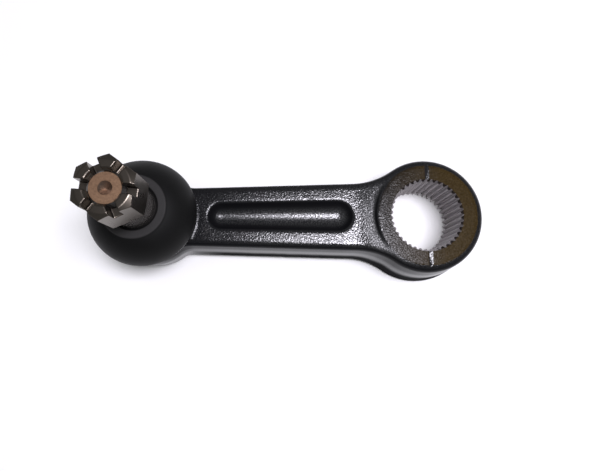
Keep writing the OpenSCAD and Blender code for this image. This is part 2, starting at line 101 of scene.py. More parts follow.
class ForgingSizes(bpy.types.PropertyGroup):
    """Sizes of the forging"""

    eye_d: length("Eye diameter", 58.6, "Outside diameter of the eye at mid-height")
    eye_height: length("Eye height", 28, "Height of the eye over its machined faces")
    eye_flat_d: length("Eye flat", 50, "Diameter of the machined flat on each face of the eye")
    eye_edge: length("Eye edge", 4, "Radius of the eye's upper outer edge")
    centre_distance: length("Centre distance", 135.5, "Distance between the eye's axis and the ball's axis")
    shank_t: length("Shank thickness", 22, "Thickness of the shank")
    shank_w_ball: length("Shank width at ball", 29.4, "Width of the shank, carried on to the ball's axis")
    shank_w_eye: length("Shank width at eye", 38, "Width of the shank, carried on to the eye's axis")
    shank_edge: length("Shank edge", 3, "Radius of the shank's upper long edges")
    parting_edge: length("Parting edge", 1.2, "Radius of the bottom edge, along the trimmed parting line")
    draft: angle("Draft", 7, "Draft angle of the die walls")
    eye_fillet: length("Eye fillet", 34, "Radius of the outline's fillets at the eye")
    housing_fillet: length("Housing fillet", 12, "Radius of the outline's fillets at the ball housing")
    pocket_from_ball: length("Pocket from ball", 29, "Distance from the ball's axis to the pocket")
    pocket_from_eye: length("Pocket from eye", 36, "Distance from the eye's axis to the pocket")
    pocket_w_ball: length("Pocket width at ball", 12.6, "Width of the pocket at its ball end")
    pocket_w_eye: length("Pocket width at eye", 15, "Width of the pocket at its eye end")
    pocket_depth: length("Pocket depth", 4.5, "Depth of the pocket")
    housing_d: length("Housing diameter", 46, "Outside diameter of the ball housing at mid-height")
    housing_edge: length("Housing edge", 1.5, "Radius of the housing's upper edge")
    crown_t: length("Crown thickness", 3.5, "Thickness of the housing's crown over the upper seat")
    mouth_d: length("Mouth diameter", 21.26, "Diameter of the stud's mouth where it meets the socket")
    mouth_top_d: length("Mouth top", 23, "Diameter of the stud's mouth at its top")
    neck_d: length("Neck diameter", 43, "Diameter of the neck that carries the boot")
    neck_h: length("Neck height", 3.9, "Height of the neck over the shoulder")
    groove_lift: length("Groove place", 1, "Height of the boot groove over the shoulder")
    groove_h: length("Groove height", 1.9, "Height of the boot groove")
    boot_groove: length("Groove depth", 1.4, "Depth of the boot groove in the neck")
    lip_t: length("Lip thickness", 0.6, "Thickness of the lip that is spun over the cover")
    lip_reach: length("Lip reach", 1.1, "Reach of the lip over the cover")
    cover_ledge: length("Cover ledge", 1.4, "Width of the ledge that the cover seats on")
    grain: length("Mesh size", 0.62, "Size of the forging's mesh faces")


class SerrationSizes(bpy.types.PropertyGroup):
    """Sizes of the serrated bore"""

    teeth: bpy.props.IntProperty(name="Teeth", description="Number of serrations", default=40, min=24, max=60)
    tip_d: length("Tip diameter", 33.6, "Diameter over the tips of the serrations")
    depth: length("Depth", 1.15, "Depth of the serrations at the nut face")
    mouth_w: length("Space width", 2.2, "Width of a tooth space at its mouth")
    root_w: length("Root width", 0.5, "Width of a tooth space at its root")
    taper: number("Taper", 16, "Length over which the root diameter grows by 1", min=8)
    chamfer: length("Mouth chamfer", 1.0, "Chamfer at the nut face")
    gear_chamfer: length("Gearbox chamfer", 0.8, "Chamfer at the gearbox face")
    mark_w: length("Mark width", 2.2, "Width of the two index marks")
    mark_depth: length("Mark depth", 0.36, "Depth of the index marks")


class JointSizes(bpy.types.PropertyGroup):
    """Sizes of the ball joint, its nut and its boot"""

    ball_d: length("Ball diameter", 27, "Diameter of the ball")
    stud_neck_d: length("Stud neck", 13, "Diameter of the neck between ball and collar")
    collar_d: length("Collar diameter", 19, "Diameter of the collar that the boot seals on")
    collar_h: length("Collar height", 8, "Height of the collar")
    collar_rise: length("Collar rise", 0.4, "Height of the collar's top over the boot's")
    taper_h: length("Taper height", 15, "Height of the stud's taper")
    taper_ratio: number("Taper ratio", 8, "Length over which the taper's diameter shrinks by 1", min=4)
    thread_d: length("Thread diameter", 14, "Diameter of the stud's thread")
    thread_pitch: length("Thread pitch", 1.5, "Pitch of the stud's thread")
    thread_spare: length("Bare thread", 0.9, "Bare thread between the taper and the nut")
    stud_chamfer: length("Stud chamfer", 0.95, "Chamfer on the stud's end")
    centre_d: length("Centre hole", 5.5, "Diameter of the centre hole in the stud's end")
    pin_hole_d: length("Pin hole", 3.4, "Diameter of the split pin hole")
    pin_hole_drop: length("Pin hole drop", 5.5, "Distance from the stud's end to the split pin hole")
    seat_wall: length("Seat wall", 3.4, "Wall of the ball seats beside the ball")
    seat_floor: length("Seat floor", 2, "Floor of the lower seat under the ball")
    seat_reach: length("Seat reach", 9, "Height of the upper seat over the ball's centre")
    spring_h: length("Spring height", 1.2, "Height of the disc spring as fitted")
    cover_t: length("Cover thickness", 1.6, "Thickness of the pressed cover")
    dish_d: length("Dish diameter", 22, "Diameter of the cover's dish")
    dish_depth: length("Dish depth", 0.35, "Depth of the cover's dish")
    nut_af: length("Nut across flats", 22, "Width across the nut's flats")
    nut_h: length("Nut height", 17.8, "Height of the nut over its prongs")
    slot_w: length("Slot width", 3.8, "Width of the nut's slots")
    slot_depth: length("Slot depth", 6, "Depth of the nut's slots")
    nut_turn: angle("Nut turn", 24, "Turn of the nut on its thread")
    stud_drop: length("Stud drop", 2.6, "Drop of the stud's end under the top of the prongs")
    boot_d: length("Boot diameter", 49.6, "Largest diameter of the boot")
    boot_h: length("Boot height", 15, "Height of the boot from its widest ring to its flat top")
    boot_top_d: length("Boot top", 28.2, "Diameter of the boot's flat top")
    boot_wall: length("Boot wall", 2.2, "Thickness of the boot's wall")
    boot_recess: length("Boot recess", 1.6, "Depth of the recess between the flat top and the collar")
    skirt_clear: length("Skirt gap", 0.4, "Gap under the boot's skirt")
    bead_wall: length("Bead wall", 1.1, "Wall between the boot's bead and the clamp ring")
    ring_wire: length("Ring wire", 1.6, "Diameter of the wire of the clamp ring")
    neck_ring: length("Neck ring", 1.6, "Width and thickness of the neck ring's section")
    lip_h: length("Boot lip", 3.4, "Height of the lip that seals on the collar")
    lip_wall: length("Boot lip wall", 1.1, "Wall of the lip that seals on the collar")


class ArmColours(bpy.types.PropertyGroup):
    """Colours of the finishes"""

    paint: colour("Paint", "#131315", "Black chassis paint")
    face: colour("Machined face", "#3a2e17", "Oiled film on the eye's machined faces")
    bore: colour("Bore steel", "#a8a2a4", "Bare steel of the serrated bore")
    # The bore chamfer's dark brown: dried oil, partly painted shade where it lies only away from the shank,
    # and painted shade on the marks' steep flanks
    lead_in: colour("Bore chamfer", "#1c1210", "Film on the bore's chamfer")
    rubber: colour("Rubber", "#070707", "Moulded rubber of the boot")
    # Painted light: the lighter grey of the boot's flat top, where it faces the light from above
    painted_top_light: colour("Bloom", "#2c2b2b", "Grey bloom on the boot's flat top")
    stud: colour("Stud", "#a5a09c", "Turned steel of the stud")
    stud_end: colour("Stud end", "#8a6e57", "Faced end of the stud, under dried oil")
    nut: colour("Nut", "#6a635b", "Blackened steel of the nut")
    wire: colour("Wire", "#a9a9a7", "Spring wire and pressed rings")
    seat: colour("Seat", "#ddd6c4", "Moulded acetal of the ball seats")
    cover: colour("Cover", "#85878a", "Zinc plate on the pressed cover")
    floor: colour("Floor", "#f7f7f6", "Studio floor")


class StudioSettings(bpy.types.PropertyGroup):
    """Camera and light"""

    camera_place: bpy.props.FloatVectorProperty(
        name="Camera", description="Place of the camera", subtype="TRANSLATION", unit="LENGTH",
        default=(-70.71 * MM, -42.70 * MM, 227.69 * MM),
    )
    camera_turn: bpy.props.FloatVectorProperty(
        name="Camera turn", description="Turn of the camera", subtype="EULER", unit="ROTATION",
        default=(math.radians(8.669), math.radians(-2.206), math.radians(-0.4125)),
    )
    lens: number("Lens", 27.206, "Focal length on a 36 mm sensor")
    key: number("Key light", 8.4, "Power of the key light", subtype="POWER")
    fill: number("Fill light", 12, "Power of the fill light", subtype="POWER")
    room: number("Room light", 0.2, "Strength of the room's light")


def connect(tree, node, links):
    """Sets each named input of a node to a value, or links it to a socket."""
    for key, value in links.items():
        if isinstance(value, bpy.types.NodeSocket):
            tree.links.new(value, node.inputs[key])
        else:
            node.inputs[key].default_value = value


def add_node(tree, kind, links=None, **settings):
    """One node with its settings, its values and its links."""
    node = tree.nodes.new(kind)
    for key, value in settings.items():
        setattr(node, key, value)
    connect(tree, node, links or {})
    return node


def new_finish(name):
    """A new material with its tree and its object coordinates."""
    finish = bpy.data.materials.new(name)
    finish.use_nodes = True
    tree = finish.node_tree
    return finish, tree, add_node(tree, "ShaderNodeTexCoord").outputs["Object"]


def shade(finish, links):
    """Feeds a finish's shader and hands the finish back."""
    tree = finish.node_tree
    connect(tree, tree.nodes["Principled BSDF"], links)
    return finish


def per_mm(mm):
    """Texture scale that gives a pattern of that size."""
    return 1 / (mm * MM)


def patchy(tree, place, mm, detail, dark, light):
    """Patches about that many millimetres wide, and a colour that goes with them from dark to light."""
    pattern = {"Vector": place, "Scale": per_mm(mm), "Detail": detail}
    patches = add_node(tree, "ShaderNodeTexNoise", pattern).outputs["Fac"]
    tone = add_node(tree, "ShaderNodeMix", {0: patches, 6: dark, 7: light}, data_type="RGBA")
    return patches, tone.outputs[2]


# Sprayed black paint keeps the pits of the shot-blasted skin, so the flats sparkle. The drafted walls are
# glossy between the rounded edges and the rough band low down, left by trimming the flash. The reflection is
# cut on the edges, the upper walls and the slopes, and almost away on the low band, as painted shade; by the
# housing the highlight is faded, as painted shade. Towards the eye and in the pockets the reflection is made
# stronger as painted highlights, and the rough foot of the eye's face on the shank's side gets a painted
# sheen, strongest on its lower side. A brown oil film covers the eye's faces and thins out towards the shank.
# Real pits are about 0.3 mm wide; they are drawn at twice that, so that they show.
def chassis_paint(c, f, lay):
    finish, tree, coords = new_finish("Black chassis paint, sprayed over a shot-blasted forging")
    x, y, z = add_node(tree, "ShaderNodeSeparateXYZ", {"Vector": coords}).outputs
    flat_place = add_node(tree, "ShaderNodeVectorMath", {0: coords, 1: (1, 1, 0)}, operation="MULTIPLY")
    from_axis = add_node(tree, "ShaderNodeVectorMath", {0: flat_place.outputs[0]}, operation="LENGTH")
    radius = from_axis.outputs["Value"]
    # Height from mid-height, and how level the rounded skin and each cut face lie: 1 flat, 0 upright
    geometry = add_node(tree, "ShaderNodeNewGeometry")
    facing = [
        add_node(tree, "ShaderNodeSeparateXYZ", {"Vector": geometry.outputs[normal]}).outputs["Z"]
        for normal in ("Normal", "True Normal")
    ]
    height, skin_level, cut_level = (
        add_node(tree, "ShaderNodeMath", {0: source}, operation="ABSOLUTE").outputs[0]
        for source in (z, *facing)
    )
    noise = []
    for mm, detail in ((0.78, 1), (9, 2)):
        pattern = {"Vector": coords, "Scale": per_mm(mm), "Detail": detail}
        noise.append(add_node(tree, "ShaderNodeTexNoise", pattern).outputs["Fac"])
    pits, patches = noise
    specks, film = patchy(tree, coords, 0.6, 1, toned(c.face, 0.3), toned(c.face, 1.45))
    uneven = {0: patches, 1: 2 * MM, 2: z}
    ragged = add_node(tree, "ShaderNodeMath", uneven, operation="MULTIPLY_ADD").outputs[0]
    # Ramps over the surface: a name, what the ramp follows, where it starts and stops, its values there
    flat_r = f.eye_flat_d / 2
    soft_ramps = ("in ring", "on face", "low")
    share = {}
    for name, source, start, stop, first, last in (
        ("in ring", radius, flat_r - 0.4 * MM, flat_r + 0.8 * MM, 1, 0),
        ("on face", height, lay.face_z - 1.6 * MM, lay.face_z - 0.7 * MM, 0, 1),
        ("unmarked", cut_level, 0.98, 0.99, 0, 1),
        ("spread", x, -22 * MM, 8 * MM, 0.15, 1),
        ("film shine", x, -22 * MM, 8 * MM, 0.24, 0.05),
        ("low", ragged, -4.5 * MM, 1 * MM, 1, 0),
        ("past housing", x, lay.ball_x + 15.5 * MM, lay.ball_x + 35.5 * MM, 0, 1),
        ("steep", skin_level, 0.75, 0.95, 1, 0),
        ("sunk", height, lay.shank_z - 2.4 * MM, lay.shank_z - 1.4 * MM, 1, 0),
        ("floored", skin_level, 0.7, 0.85, 0, 1),
        ("round face", radius, flat_r - 0.6 * MM, flat_r + 0.4 * MM, 0, 1),
        ("near face", radius, flat_r + 3 * MM, flat_r + 8 * MM, 1, 0),
        ("to one side", y, -16 * MM, 14 * MM, 1, 0.2),
        ("inward", x, -16 * MM, -4 * MM, 1, 0),
        ("laid back", skin_level, 0.6, 0.85, 0, 1),
        ("on wall", skin_level, 0.18, 0.3, 1, 0),
        ("below edge", z, 0.5 * MM, 4.5 * MM, 1, 0),
        ("on flat", skin_level, 0.74, 0.92, 0, 1),
        ("toward eye", x, -45 * MM, -34 * MM, 0, 1),
        ("before face", x, -25 * MM, -20 * MM, 1, 0),
        # Nearer the housing the paint reflects less, down to 0.45 as much: painted shade that fades the
        # highlight there
        ("clear of housing shade", x, lay.ball_x + 23.5 * MM, lay.ball_x + 57.5 * MM, 0, 1),
        ("blasted", skin_level, 0.7, 0.96, 0.05, 1),
        ("sparkle", specks, 0.4, 0.66, 0.28, 1.1),
        ("gloss", patches, 0.3, 0.7, 0.17, 0.23),
    ):
        ramp = add_node(
            tree, "ShaderNodeMapRange", {"Value": source, 1: start, 2: stop, 3: first, 4: last},
            interpolation_type="SMOOTHSTEP" if name in soft_ramps else "LINEAR",
        )
        share[name] = ramp.outputs[0]
    # Places where several ramps meet
    for name, first, *others in (
        ("filmed", "in ring", "on face", "unmarked"),
        ("thick film", "filmed", "spread"),
        # The low band of the walls: rough, as left by trimming the flash, with its reflection taken almost
        # away as painted shade
        ("trimmed", "low", "past housing", "steep"),
        ("pocket", "sunk", "floored"),
        # The foot of the eye's face on the shank's side, strongest on its lower side: rough, with a painted
        # sheen
        ("foot", "round face", "near face", "to one side", "inward", "laid back"),
        ("open wall", "on wall", "below edge"),
        ("painted highlight near eye", "toward eye", "before face"),
    ):
        share[name] = share[first]
        for other in others:
            both = {0: share[name], 1: share[other]}
            share[name] = add_node(tree, "ShaderNodeMath", both, operation="MULTIPLY").outputs[0]
    tints = {0: share["thick film"], 6: c.paint, 7: film}
    tone = add_node(tree, "ShaderNodeMix", tints, data_type="RGBA")
    rough = share["gloss"]
    for place, value in (("trimmed", 0.7), ("pocket", 0.28), ("thick film", 0.3), ("foot", 0.45)):
        rough = add_node(tree, "ShaderNodeMix", {0: share[place], 2: rough, 3: value}).outputs[0]
    shine = add_node(tree, "ShaderNodeMix", {0: share["blasted"], 2: 0.5, 3: share["sparkle"]}).outputs[0]
    # Where the skin is neither flat nor a low wall, the paint reflects 0.14 as much: painted shade on the
    # rounded edges, upper walls and slopes
    clear_of_edge_shade = {0: share["open wall"], 1: share["on flat"]}
    share["clear_of_edge_shade"] = add_node(tree, "ShaderNodeMath", clear_of_edge_shade, operation="MAXIMUM").outputs[0]
    # Factors on the reflection: painted shade on the edges and slopes, on the low wall band and by the
    # housing; painted highlights towards the eye (1.4), in the pockets (1.7) and at the eye's foot (2)
    for place, outside, inside in (
        ("clear_of_edge_shade", 0.14, 1), ("filmed", 1, share["film shine"]), ("trimmed", 1, 0.05), ("painted highlight near eye", 1, 1.4),
        ("pocket", 1, 1.7), ("clear of housing shade", 0.45, 1), ("foot", 1, 2),
    ):
        factor = add_node(tree, "ShaderNodeMapRange", {"Value": share[place], 3: outside, 4: inside})
        both = {0: shine, 1: factor.outputs[0]}
        shine = add_node(tree, "ShaderNodeMath", both, operation="MULTIPLY").outputs[0]
    dents = {"Strength": share["blasted"], "Distance": 0.105 * MM, "Height": pits}
    relief = add_node(tree, "ShaderNodeBump", dents)
    return shade(finish, {
        "Base Color": tone.outputs[2], "Roughness": rough, "IOR": 1.5, "Specular IOR Level": shine,
        "Normal": relief.outputs[0],
    })


# Broached steel is left bare: grey with a faint mauve cast and fine lines along the cut, drawn at 0.5 mm so
# that they show.
def broached_steel(c):
    finish, tree, coords = new_finish("Bare steel, broached")
    lines = add_node(tree, "ShaderNodeMapping", {"Vector": coords, "Scale": (1, 1, 0.03)})
    streaks, tone = patchy(tree, lines.outputs[0], 0.5, 3, toned(c.bore, 0.75), c.bore)
    relief = add_node(tree, "ShaderNodeBump", {"Strength": 0.3, "Distance": 0.02 * MM, "Height": streaks})
    return shade(finish, {
        "Base Color": tone, "Metallic": 0.3, "Roughness": 0.5, "Normal": relief.outputs[0],
    })


# Dried oil and overspray in the chamfer make it a dull dark brown. Laid only on the chamfer's side away from
# the shank, it is partly painted shade; on the marks' steep flanks it is painted shade.
def chamfer_film_and_shade(c):
    finish, tree, coords = new_finish("Steel chamfer under dried oil and painted shade, turned")
    _, tone = patchy(tree, coords, 1.5, 2, toned(c.lead_in, 0.4), c.lead_in)
    return shade(finish, {"Base Color": tone, "Roughness": 0.5})


# Moulded chloroprene: near black and dull, with painted light on the flat top, a lighter grey where it faces
# the light from above, and the mould's fine stipple, drawn at 0.7 mm so that it shows.
def moulded_rubber(c, top_z):
    finish, tree, coords = new_finish("Chloroprene rubber, moulded")
    z = add_node(tree, "ShaderNodeSeparateXYZ", {"Vector": coords}).outputs["Z"]
    lit_top = add_node(tree, "ShaderNodeMapRange", {"Value": z, 1: top_z - 0.6 * MM, 2: top_z - 0.1 * MM})
    cloud, skin = patchy(tree, coords, 11, 4, c.rubber, toned(c.rubber, 1.5))
    # Painted light: the flat top gets the lighter grey
    tone = add_node(tree, "ShaderNodeMix", {0: lit_top.outputs[0], 6: skin, 7: c.painted_top_light}, data_type="RGBA")
    satin = add_node(tree, "ShaderNodeMapRange", {"Value": cloud, 1: 0.3, 2: 0.7, 3: 0.52, 4: 0.62})
    stipple = add_node(tree, "ShaderNodeTexNoise", {"Vector": coords, "Scale": per_mm(0.7), "Detail": 2})
    dents = {"Strength": 0.12, "Distance": 0.03 * MM, "Height": stipple.outputs["Fac"]}
    relief = add_node(tree, "ShaderNodeBump", dents)
    return shade(finish, {
        "Base Color": tone.outputs[2], "Roughness": satin.outputs[0], "IOR": 1.27,
        "Normal": relief.outputs[0],
    })


# Turned and induction-hardened steel: grey and oily on the sides, drawn darker in the thread, at 0.3 of the
# sides' tone, with a tan film on the faced end and thinner in its centre hole. The tool's marks are drawn at
# 0.6 mm so that they show.
def turned_steel(c, j, lay):
    finish, tree, coords = new_finish("Alloy steel, turned and oiled")
    end_z, thread_z, hole_r = lay.stud_top_z, lay.taper_z, j.centre_d / 2
    z = add_node(tree, "ShaderNodeSeparateXYZ", {"Vector": coords}).outputs["Z"]
    end_centre = (lay.ball_x, 0, end_z)
    across = add_node(tree, "ShaderNodeVectorMath", {0: coords, 1: end_centre}, operation="DISTANCE")
    faced, centred, threaded = (
        add_node(tree, "ShaderNodeMapRange", {"Value": source, 1: start, 2: stop, 3: 0, 4: share}).outputs[0]
        for source, start, stop, share in (
            (z, end_z - 0.25 * MM, end_z - 0.05 * MM, 1),
            (across.outputs["Value"], hole_r + 0.25 * MM, hole_r + 0.05 * MM, 0.5),
            (z, thread_z, thread_z + 0.5 * MM, 1),
        )
    )
    end = add_node(tree, "ShaderNodeMath", {0: faced, 1: centred}, operation="MAXIMUM").outputs[0]
    _, film = patchy(tree, coords, 0.6, 2, toned(c.stud_end, 0.55), toned(c.stud_end, 1.5))
    tints = {0: threaded, 6: c.stud, 7: toned(c.stud, 0.3)}
    side = add_node(tree, "ShaderNodeMix", tints, data_type="RGBA")
    tone = add_node(tree, "ShaderNodeMix", {0: end, 6: side.outputs[2], 7: film}, data_type="RGBA")
    rough = add_node(tree, "ShaderNodeMapRange", {"Value": end, 3: 0.22, 4: 0.5})
    rings = add_node(tree, "ShaderNodeMapping", {"Vector": coords, "Scale": (0.02, 0.02, 1)})
    pattern = {"Vector": rings.outputs[0], "Scale": per_mm(0.6), "Detail": 2}
    marks = add_node(tree, "ShaderNodeTexNoise", pattern)
    dents = {"Strength": 0.2, "Distance": 0.02 * MM, "Height": marks.outputs["Fac"]}
    relief = add_node(tree, "ShaderNodeBump", dents)
    return shade(finish, {
        "Base Color": tone.outputs[2], "Metallic": 0.9, "Roughness": rough.outputs[0],
        "Normal": relief.outputs[0],
    })


# Blackened nut steel: a dark mirror with an olive cast, worn a little in patches.
def blackened_steel(c):
    finish, tree, coords = new_finish("Nut steel, blackened and oiled")
    wear, tone = patchy(tree, coords, 4, 4, toned(c.nut, 0.92), c.nut)
    rough = add_node(tree, "ShaderNodeMapRange", {"Value": wear, 1: 0.3, 2: 0.7, 3: 0.27, 4: 0.29})
    return shade(finish, {"Base Color": tone, "Metallic": 1, "Roughness": rough.outputs[0]})


# Drawn spring wire and pressed rings: bright grey with fine darker specks.
def drawn_wire(c):
    finish, tree, coords = new_finish("Spring steel, drawn")
    _, tone = patchy(tree, coords, 0.8, 3, toned(c.wire, 0.6), c.wire)
    return shade(finish, {"Base Color": tone, "Metallic": 1, "Roughness": 0.3})


# Moulded acetal: waxy off-white with a soft sheen.
def moulded_acetal(c):
    finish, tree, coords = new_finish("Acetal, moulded")
    _, tone = patchy(tree, coords, 6, 2, toned(c.seat, 0.85), c.seat)
    return shade(finish, {"Base Color": tone, "Roughness": 0.4, "Subsurface Weight": 0.1})


# Zinc-plated pressing: pale grey metal with a cloudy spangle.
def zinc_plate(c):
    finish, tree, coords = new_finish("Sheet steel, pressed and zinc plated")
    pattern = {"Vector": coords, "Scale": per_mm(2.5)}
    spangle = add_node(tree, "ShaderNodeTexVoronoi", pattern).outputs["Distance"]
    value, rough = (
        add_node(tree, "ShaderNodeMapRange", {"Value": spangle, 3: first, 4: last}).outputs[0]
        for first, last in ((0.8, 1.15), (0.28, 0.42))
    )
    tone = add_node(tree, "ShaderNodeHueSaturation", {"Color": c.cover, "Value": value})
    return shade(finish, {"Base Color": tone.outputs[0], "Metallic": 1, "Roughness": rough})


# Matt painted floor: even and pale, so that it shows only soft shade.
def floor_paint(c):
    finish, tree, coords = new_finish("Floor paint, rolled matt")
    _, tone = patchy(tree, coords, 1000 / 3, 2, c.floor, toned(c.floor, 1.02))
    return shade(finish, {"Base Color": tone, "Roughness": 0.9})


def new_piece(name, points, faces, *finishes):
    """A mesh object at the origin, with its place in its points."""
    mesh = bpy.data.meshes.new(name)
    mesh.from_pydata([tuple(map(float, p)) for p in points], [], faces)
    mesh.update()
    for finish in finishes:
        mesh.materials.append(finish)
    piece = bpy.data.objects.new(name, mesh)
    bpy.context.scene.collection.objects.link(piece)
    return piece


def coat(mesh, finish):
    """Gives a whole mesh one finish."""
    mesh.materials.clear()
    mesh.materials.append(finish)


def face_outwards(piece):
    """Welds a closed shell and turns its faces outwards."""
    shell = bmesh.new()
    shell.from_mesh(piece.data)
    bmesh.ops.remove_doubles(shell, verts=shell.verts, dist=WELD)
    bmesh.ops.dissolve_degenerate(shell, edges=shell.edges, dist=WELD)
    bmesh.ops.recalc_face_normals(shell, faces=shell.faces)
    shell.to_mesh(piece.data)
    shell.free()
    return piece


def clear_slivers(piece):
    """Splits a cut piece into triangles and drops the slivers that lie back to back."""
    shell = bmesh.new()
    shell.from_mesh(piece.data)
    bmesh.ops.triangulate(shell, faces=shell.faces)
    bmesh.ops.remove_doubles(shell, verts=shell.verts, dist=WELD / 2)
    groups = {}
    for face in shell.faces:
        groups.setdefault(frozenset(face.verts), []).append(face)
    doubled = [face for group in groups.values() if len(group) > 1 for face in group]
    bmesh.ops.delete(shell, geom=doubled, context="FACES")
    shell.to_mesh(piece.data)
    shell.free()
    return piece


def bake(piece):
    """Turns a piece's modifiers into its mesh."""
    graph = bpy.context.evaluated_depsgraph_get()
    mesh = bpy.data.meshes.new_from_object(piece.evaluated_get(graph), depsgraph=graph)
    old = piece.data
    piece.modifiers.clear()
    piece.data = mesh
    bpy.data.meshes.remove(old)
    mesh.name = piece.name
    return piece


def combine(piece, tool, operation):
    """Takes tool off piece, or keeps what both share; faces from tool keep tool's finish."""
    step = piece.modifiers.new(operation, "BOOLEAN")
    step.operation = operation
    step.solver = "MANIFOLD"
    step.object = tool
    step.material_mode = "TRANSFER"
    bake(piece)
    bpy.data.objects.remove(tool)
    return piece


def joined(name, pieces):
    """One object from several closed shells."""
    points, faces = [], []
    for p in pieces:
        start = len(points)
        points += [tuple(v.co) for v in p.data.vertices]
        faces += [[start + i for i in f.vertices] for f in p.data.polygons]
        bpy.data.objects.remove(p)
    return new_piece(name, points, faces)


def softened(piece, size, rounds):
    """Melts the shells of a piece into one skin of even faces and rounds its edges."""
    melt = piece.modifiers.new("Skin", "REMESH")
    melt.mode = "VOXEL"
    melt.voxel_size = size
    bake(piece)
    ease = piece.modifiers.new("Soft edges", "SMOOTH")
    ease.factor = 0.5
    ease.iterations = rounds
    return bake(piece)


def smooth_shaded(piece, sharp=30):
    """Smooth shading that keeps edges sharper than that many degrees."""
    piece.data.polygons.foreach_set("use_smooth", [True] * len(piece.data.polygons))
    piece.data.set_sharp_from_angle(angle=math.radians(sharp))
    return piece


def ring_tree():
    """Node tree that repeats a sector about the Z axis through Centre and welds the copies."""
    name = "Ring of sectors"
    if name in bpy.data.node_groups:
        return bpy.data.node_groups[name]
    tree = bpy.data.node_groups.new(name, "GeometryNodeTree")
    sockets = {
        "Sector": "Geometry", "Count": "Int", "Centre": "Vector", "Weld": "Float", "Finish": "Material",
    }
    for label, kind in sockets.items():
        tree.interface.new_socket(label, in_out="INPUT", socket_type="NodeSocket" + kind)
    tree.interface.new_socket("Ring", in_out="OUTPUT", socket_type="NodeSocketGeometry")
    given = add_node(tree, "NodeGroupInput").outputs
    spots = add_node(tree, "GeometryNodePoints", {"Count": given["Count"], "Position": given["Centre"]})
    step = add_node(tree, "ShaderNodeMath", {0: math.tau, 1: given["Count"]}, operation="DIVIDE")
    index = add_node(tree, "GeometryNodeInputIndex")
    turn = add_node(tree, "ShaderNodeMath", {0: index.outputs[0], 1: step.outputs[0]}, operation="MULTIPLY")
    upright_turn = add_node(tree, "ShaderNodeCombineXYZ", {"Z": turn.outputs[0]})
    copies = add_node(
        tree, "GeometryNodeInstanceOnPoints",
        {"Points": spots.outputs[0], "Instance": given["Sector"], "Rotation": upright_turn.outputs[0]},
    )
    real = add_node(tree, "GeometryNodeRealizeInstances", {"Geometry": copies.outputs[0]})
    seams = {"Geometry": real.outputs[0], "Distance": given["Weld"]}
    welded = add_node(tree, "GeometryNodeMergeByDistance", seams)
    coat = {"Geometry": welded.outputs[0], "Material": given["Finish"]}
    coated = add_node(tree, "GeometryNodeSetMaterial", coat)
    add_node(tree, "NodeGroupOutput", {"Ring": coated.outputs[0]})
    return tree


def ring_of(piece, count, centre, finish):
    """Repeats a piece's sector about the upright axis at centre and makes the result its mesh."""
    tree = ring_tree()
    step = piece.modifiers.new("Ring", "NODES")
    step.node_group = tree
    values = {"Count": count, "Centre": centre, "Weld": 2 * WELD, "Finish": finish}
    for item in tree.interface.items_tree:
        if item.in_out == "INPUT" and item.name in values:
            step[item.identifier] = values[item.name]
    bake(piece)
    return face_outwards(piece)


def band_faces(rows, count):
    """Faces between rows of points, each row a closed loop of count points."""
    return [
        (k * count + i, k * count + (i + 1) % count, (k + 1) * count + (i + 1) % count, (k + 1) * count + i)
        for k in range(rows - 1) for i in range(count)
    ]


def prism(name, low, high, *finishes):
    """A closed body between two like loops of points."""
    n = len(low)
    ends = [tuple(range(n)), tuple(range(n, 2 * n))]
    return face_outwards(new_piece(name, [*low, *high], band_faces(2, n) + ends, *finishes))


def block(name, plan, low, high, *finishes):
    """A closed body that stands on a plan from low to high."""
    return prism(name, *([(x, y, z) for x, y in plan] for z in (low, high)), *finishes)


def turned(name, profile, centre, finish, count=128):
    """A turned or moulded ring: a profile of (radius, height) points repeated round the axis at centre."""
    step = math.tau / count
    points = [(r * math.cos(a), r * math.sin(a), z) for a in (0, step) for r, z in profile]
    return ring_of(new_piece(name, points, band_faces(2, len(profile))), count, centre, finish)


def grid_of_rows(name, radius, height, centre_x, finish):
    """A closed body from rows of radii round an upright axis, with a pole at each end."""
    rows, count = radius.shape
    a = np.arange(count) * math.tau / count
    x = centre_x + radius * np.cos(a)
    y = radius * np.sin(a)
    z = np.broadcast_to(height[:, None], radius.shape)
    points = np.stack([x, y, z], -1).reshape(-1, 3).tolist()
    faces = band_faces(rows, count)
    for k in (0, rows - 1):
        points.append((centre_x, 0, height[k]))
        faces += [(len(points) - 1, k * count + i, k * count + (i + 1) % count) for i in range(count)]
    return face_outwards(new_piece(name, points, faces, finish))


def arc(centre, r, start, stop, n):
    """Points on an arc, angles in degrees."""
    a = np.radians(np.linspace(start, stop, n))
    return np.stack([centre[0] + r * np.cos(a), centre[1] + r * np.sin(a)], -1)


def bezier(handles, n):
    """Points on a cubic curve."""
    t = np.linspace(0, 1, n)[:, None]
    p = np.array(handles)
    return (1 - t) ** 3 * p[0] + 3 * t * (1 - t) ** 2 * p[1] + 3 * t**2 * (1 - t) * p[2] + t**3 * p[3]


def eased(x, start, stop):
    """Soft step from 0 at start to 1 at stop."""
    t = np.clip((x - start) / (stop - start), 0, 1)
    return t * t * (3 - 2 * t)


def thread_groove(z, count, pitch):
    """Depth of a thread's groove at each height and each step round its axis."""
    depth, flank, crest = 0.8 * MM, 1.25, 0.12
    turn = (z[:, None] / pitch - np.arange(count) / count) % 1
    return depth * np.clip(flank * np.abs(2 * turn - 1) - crest, 0, 1)


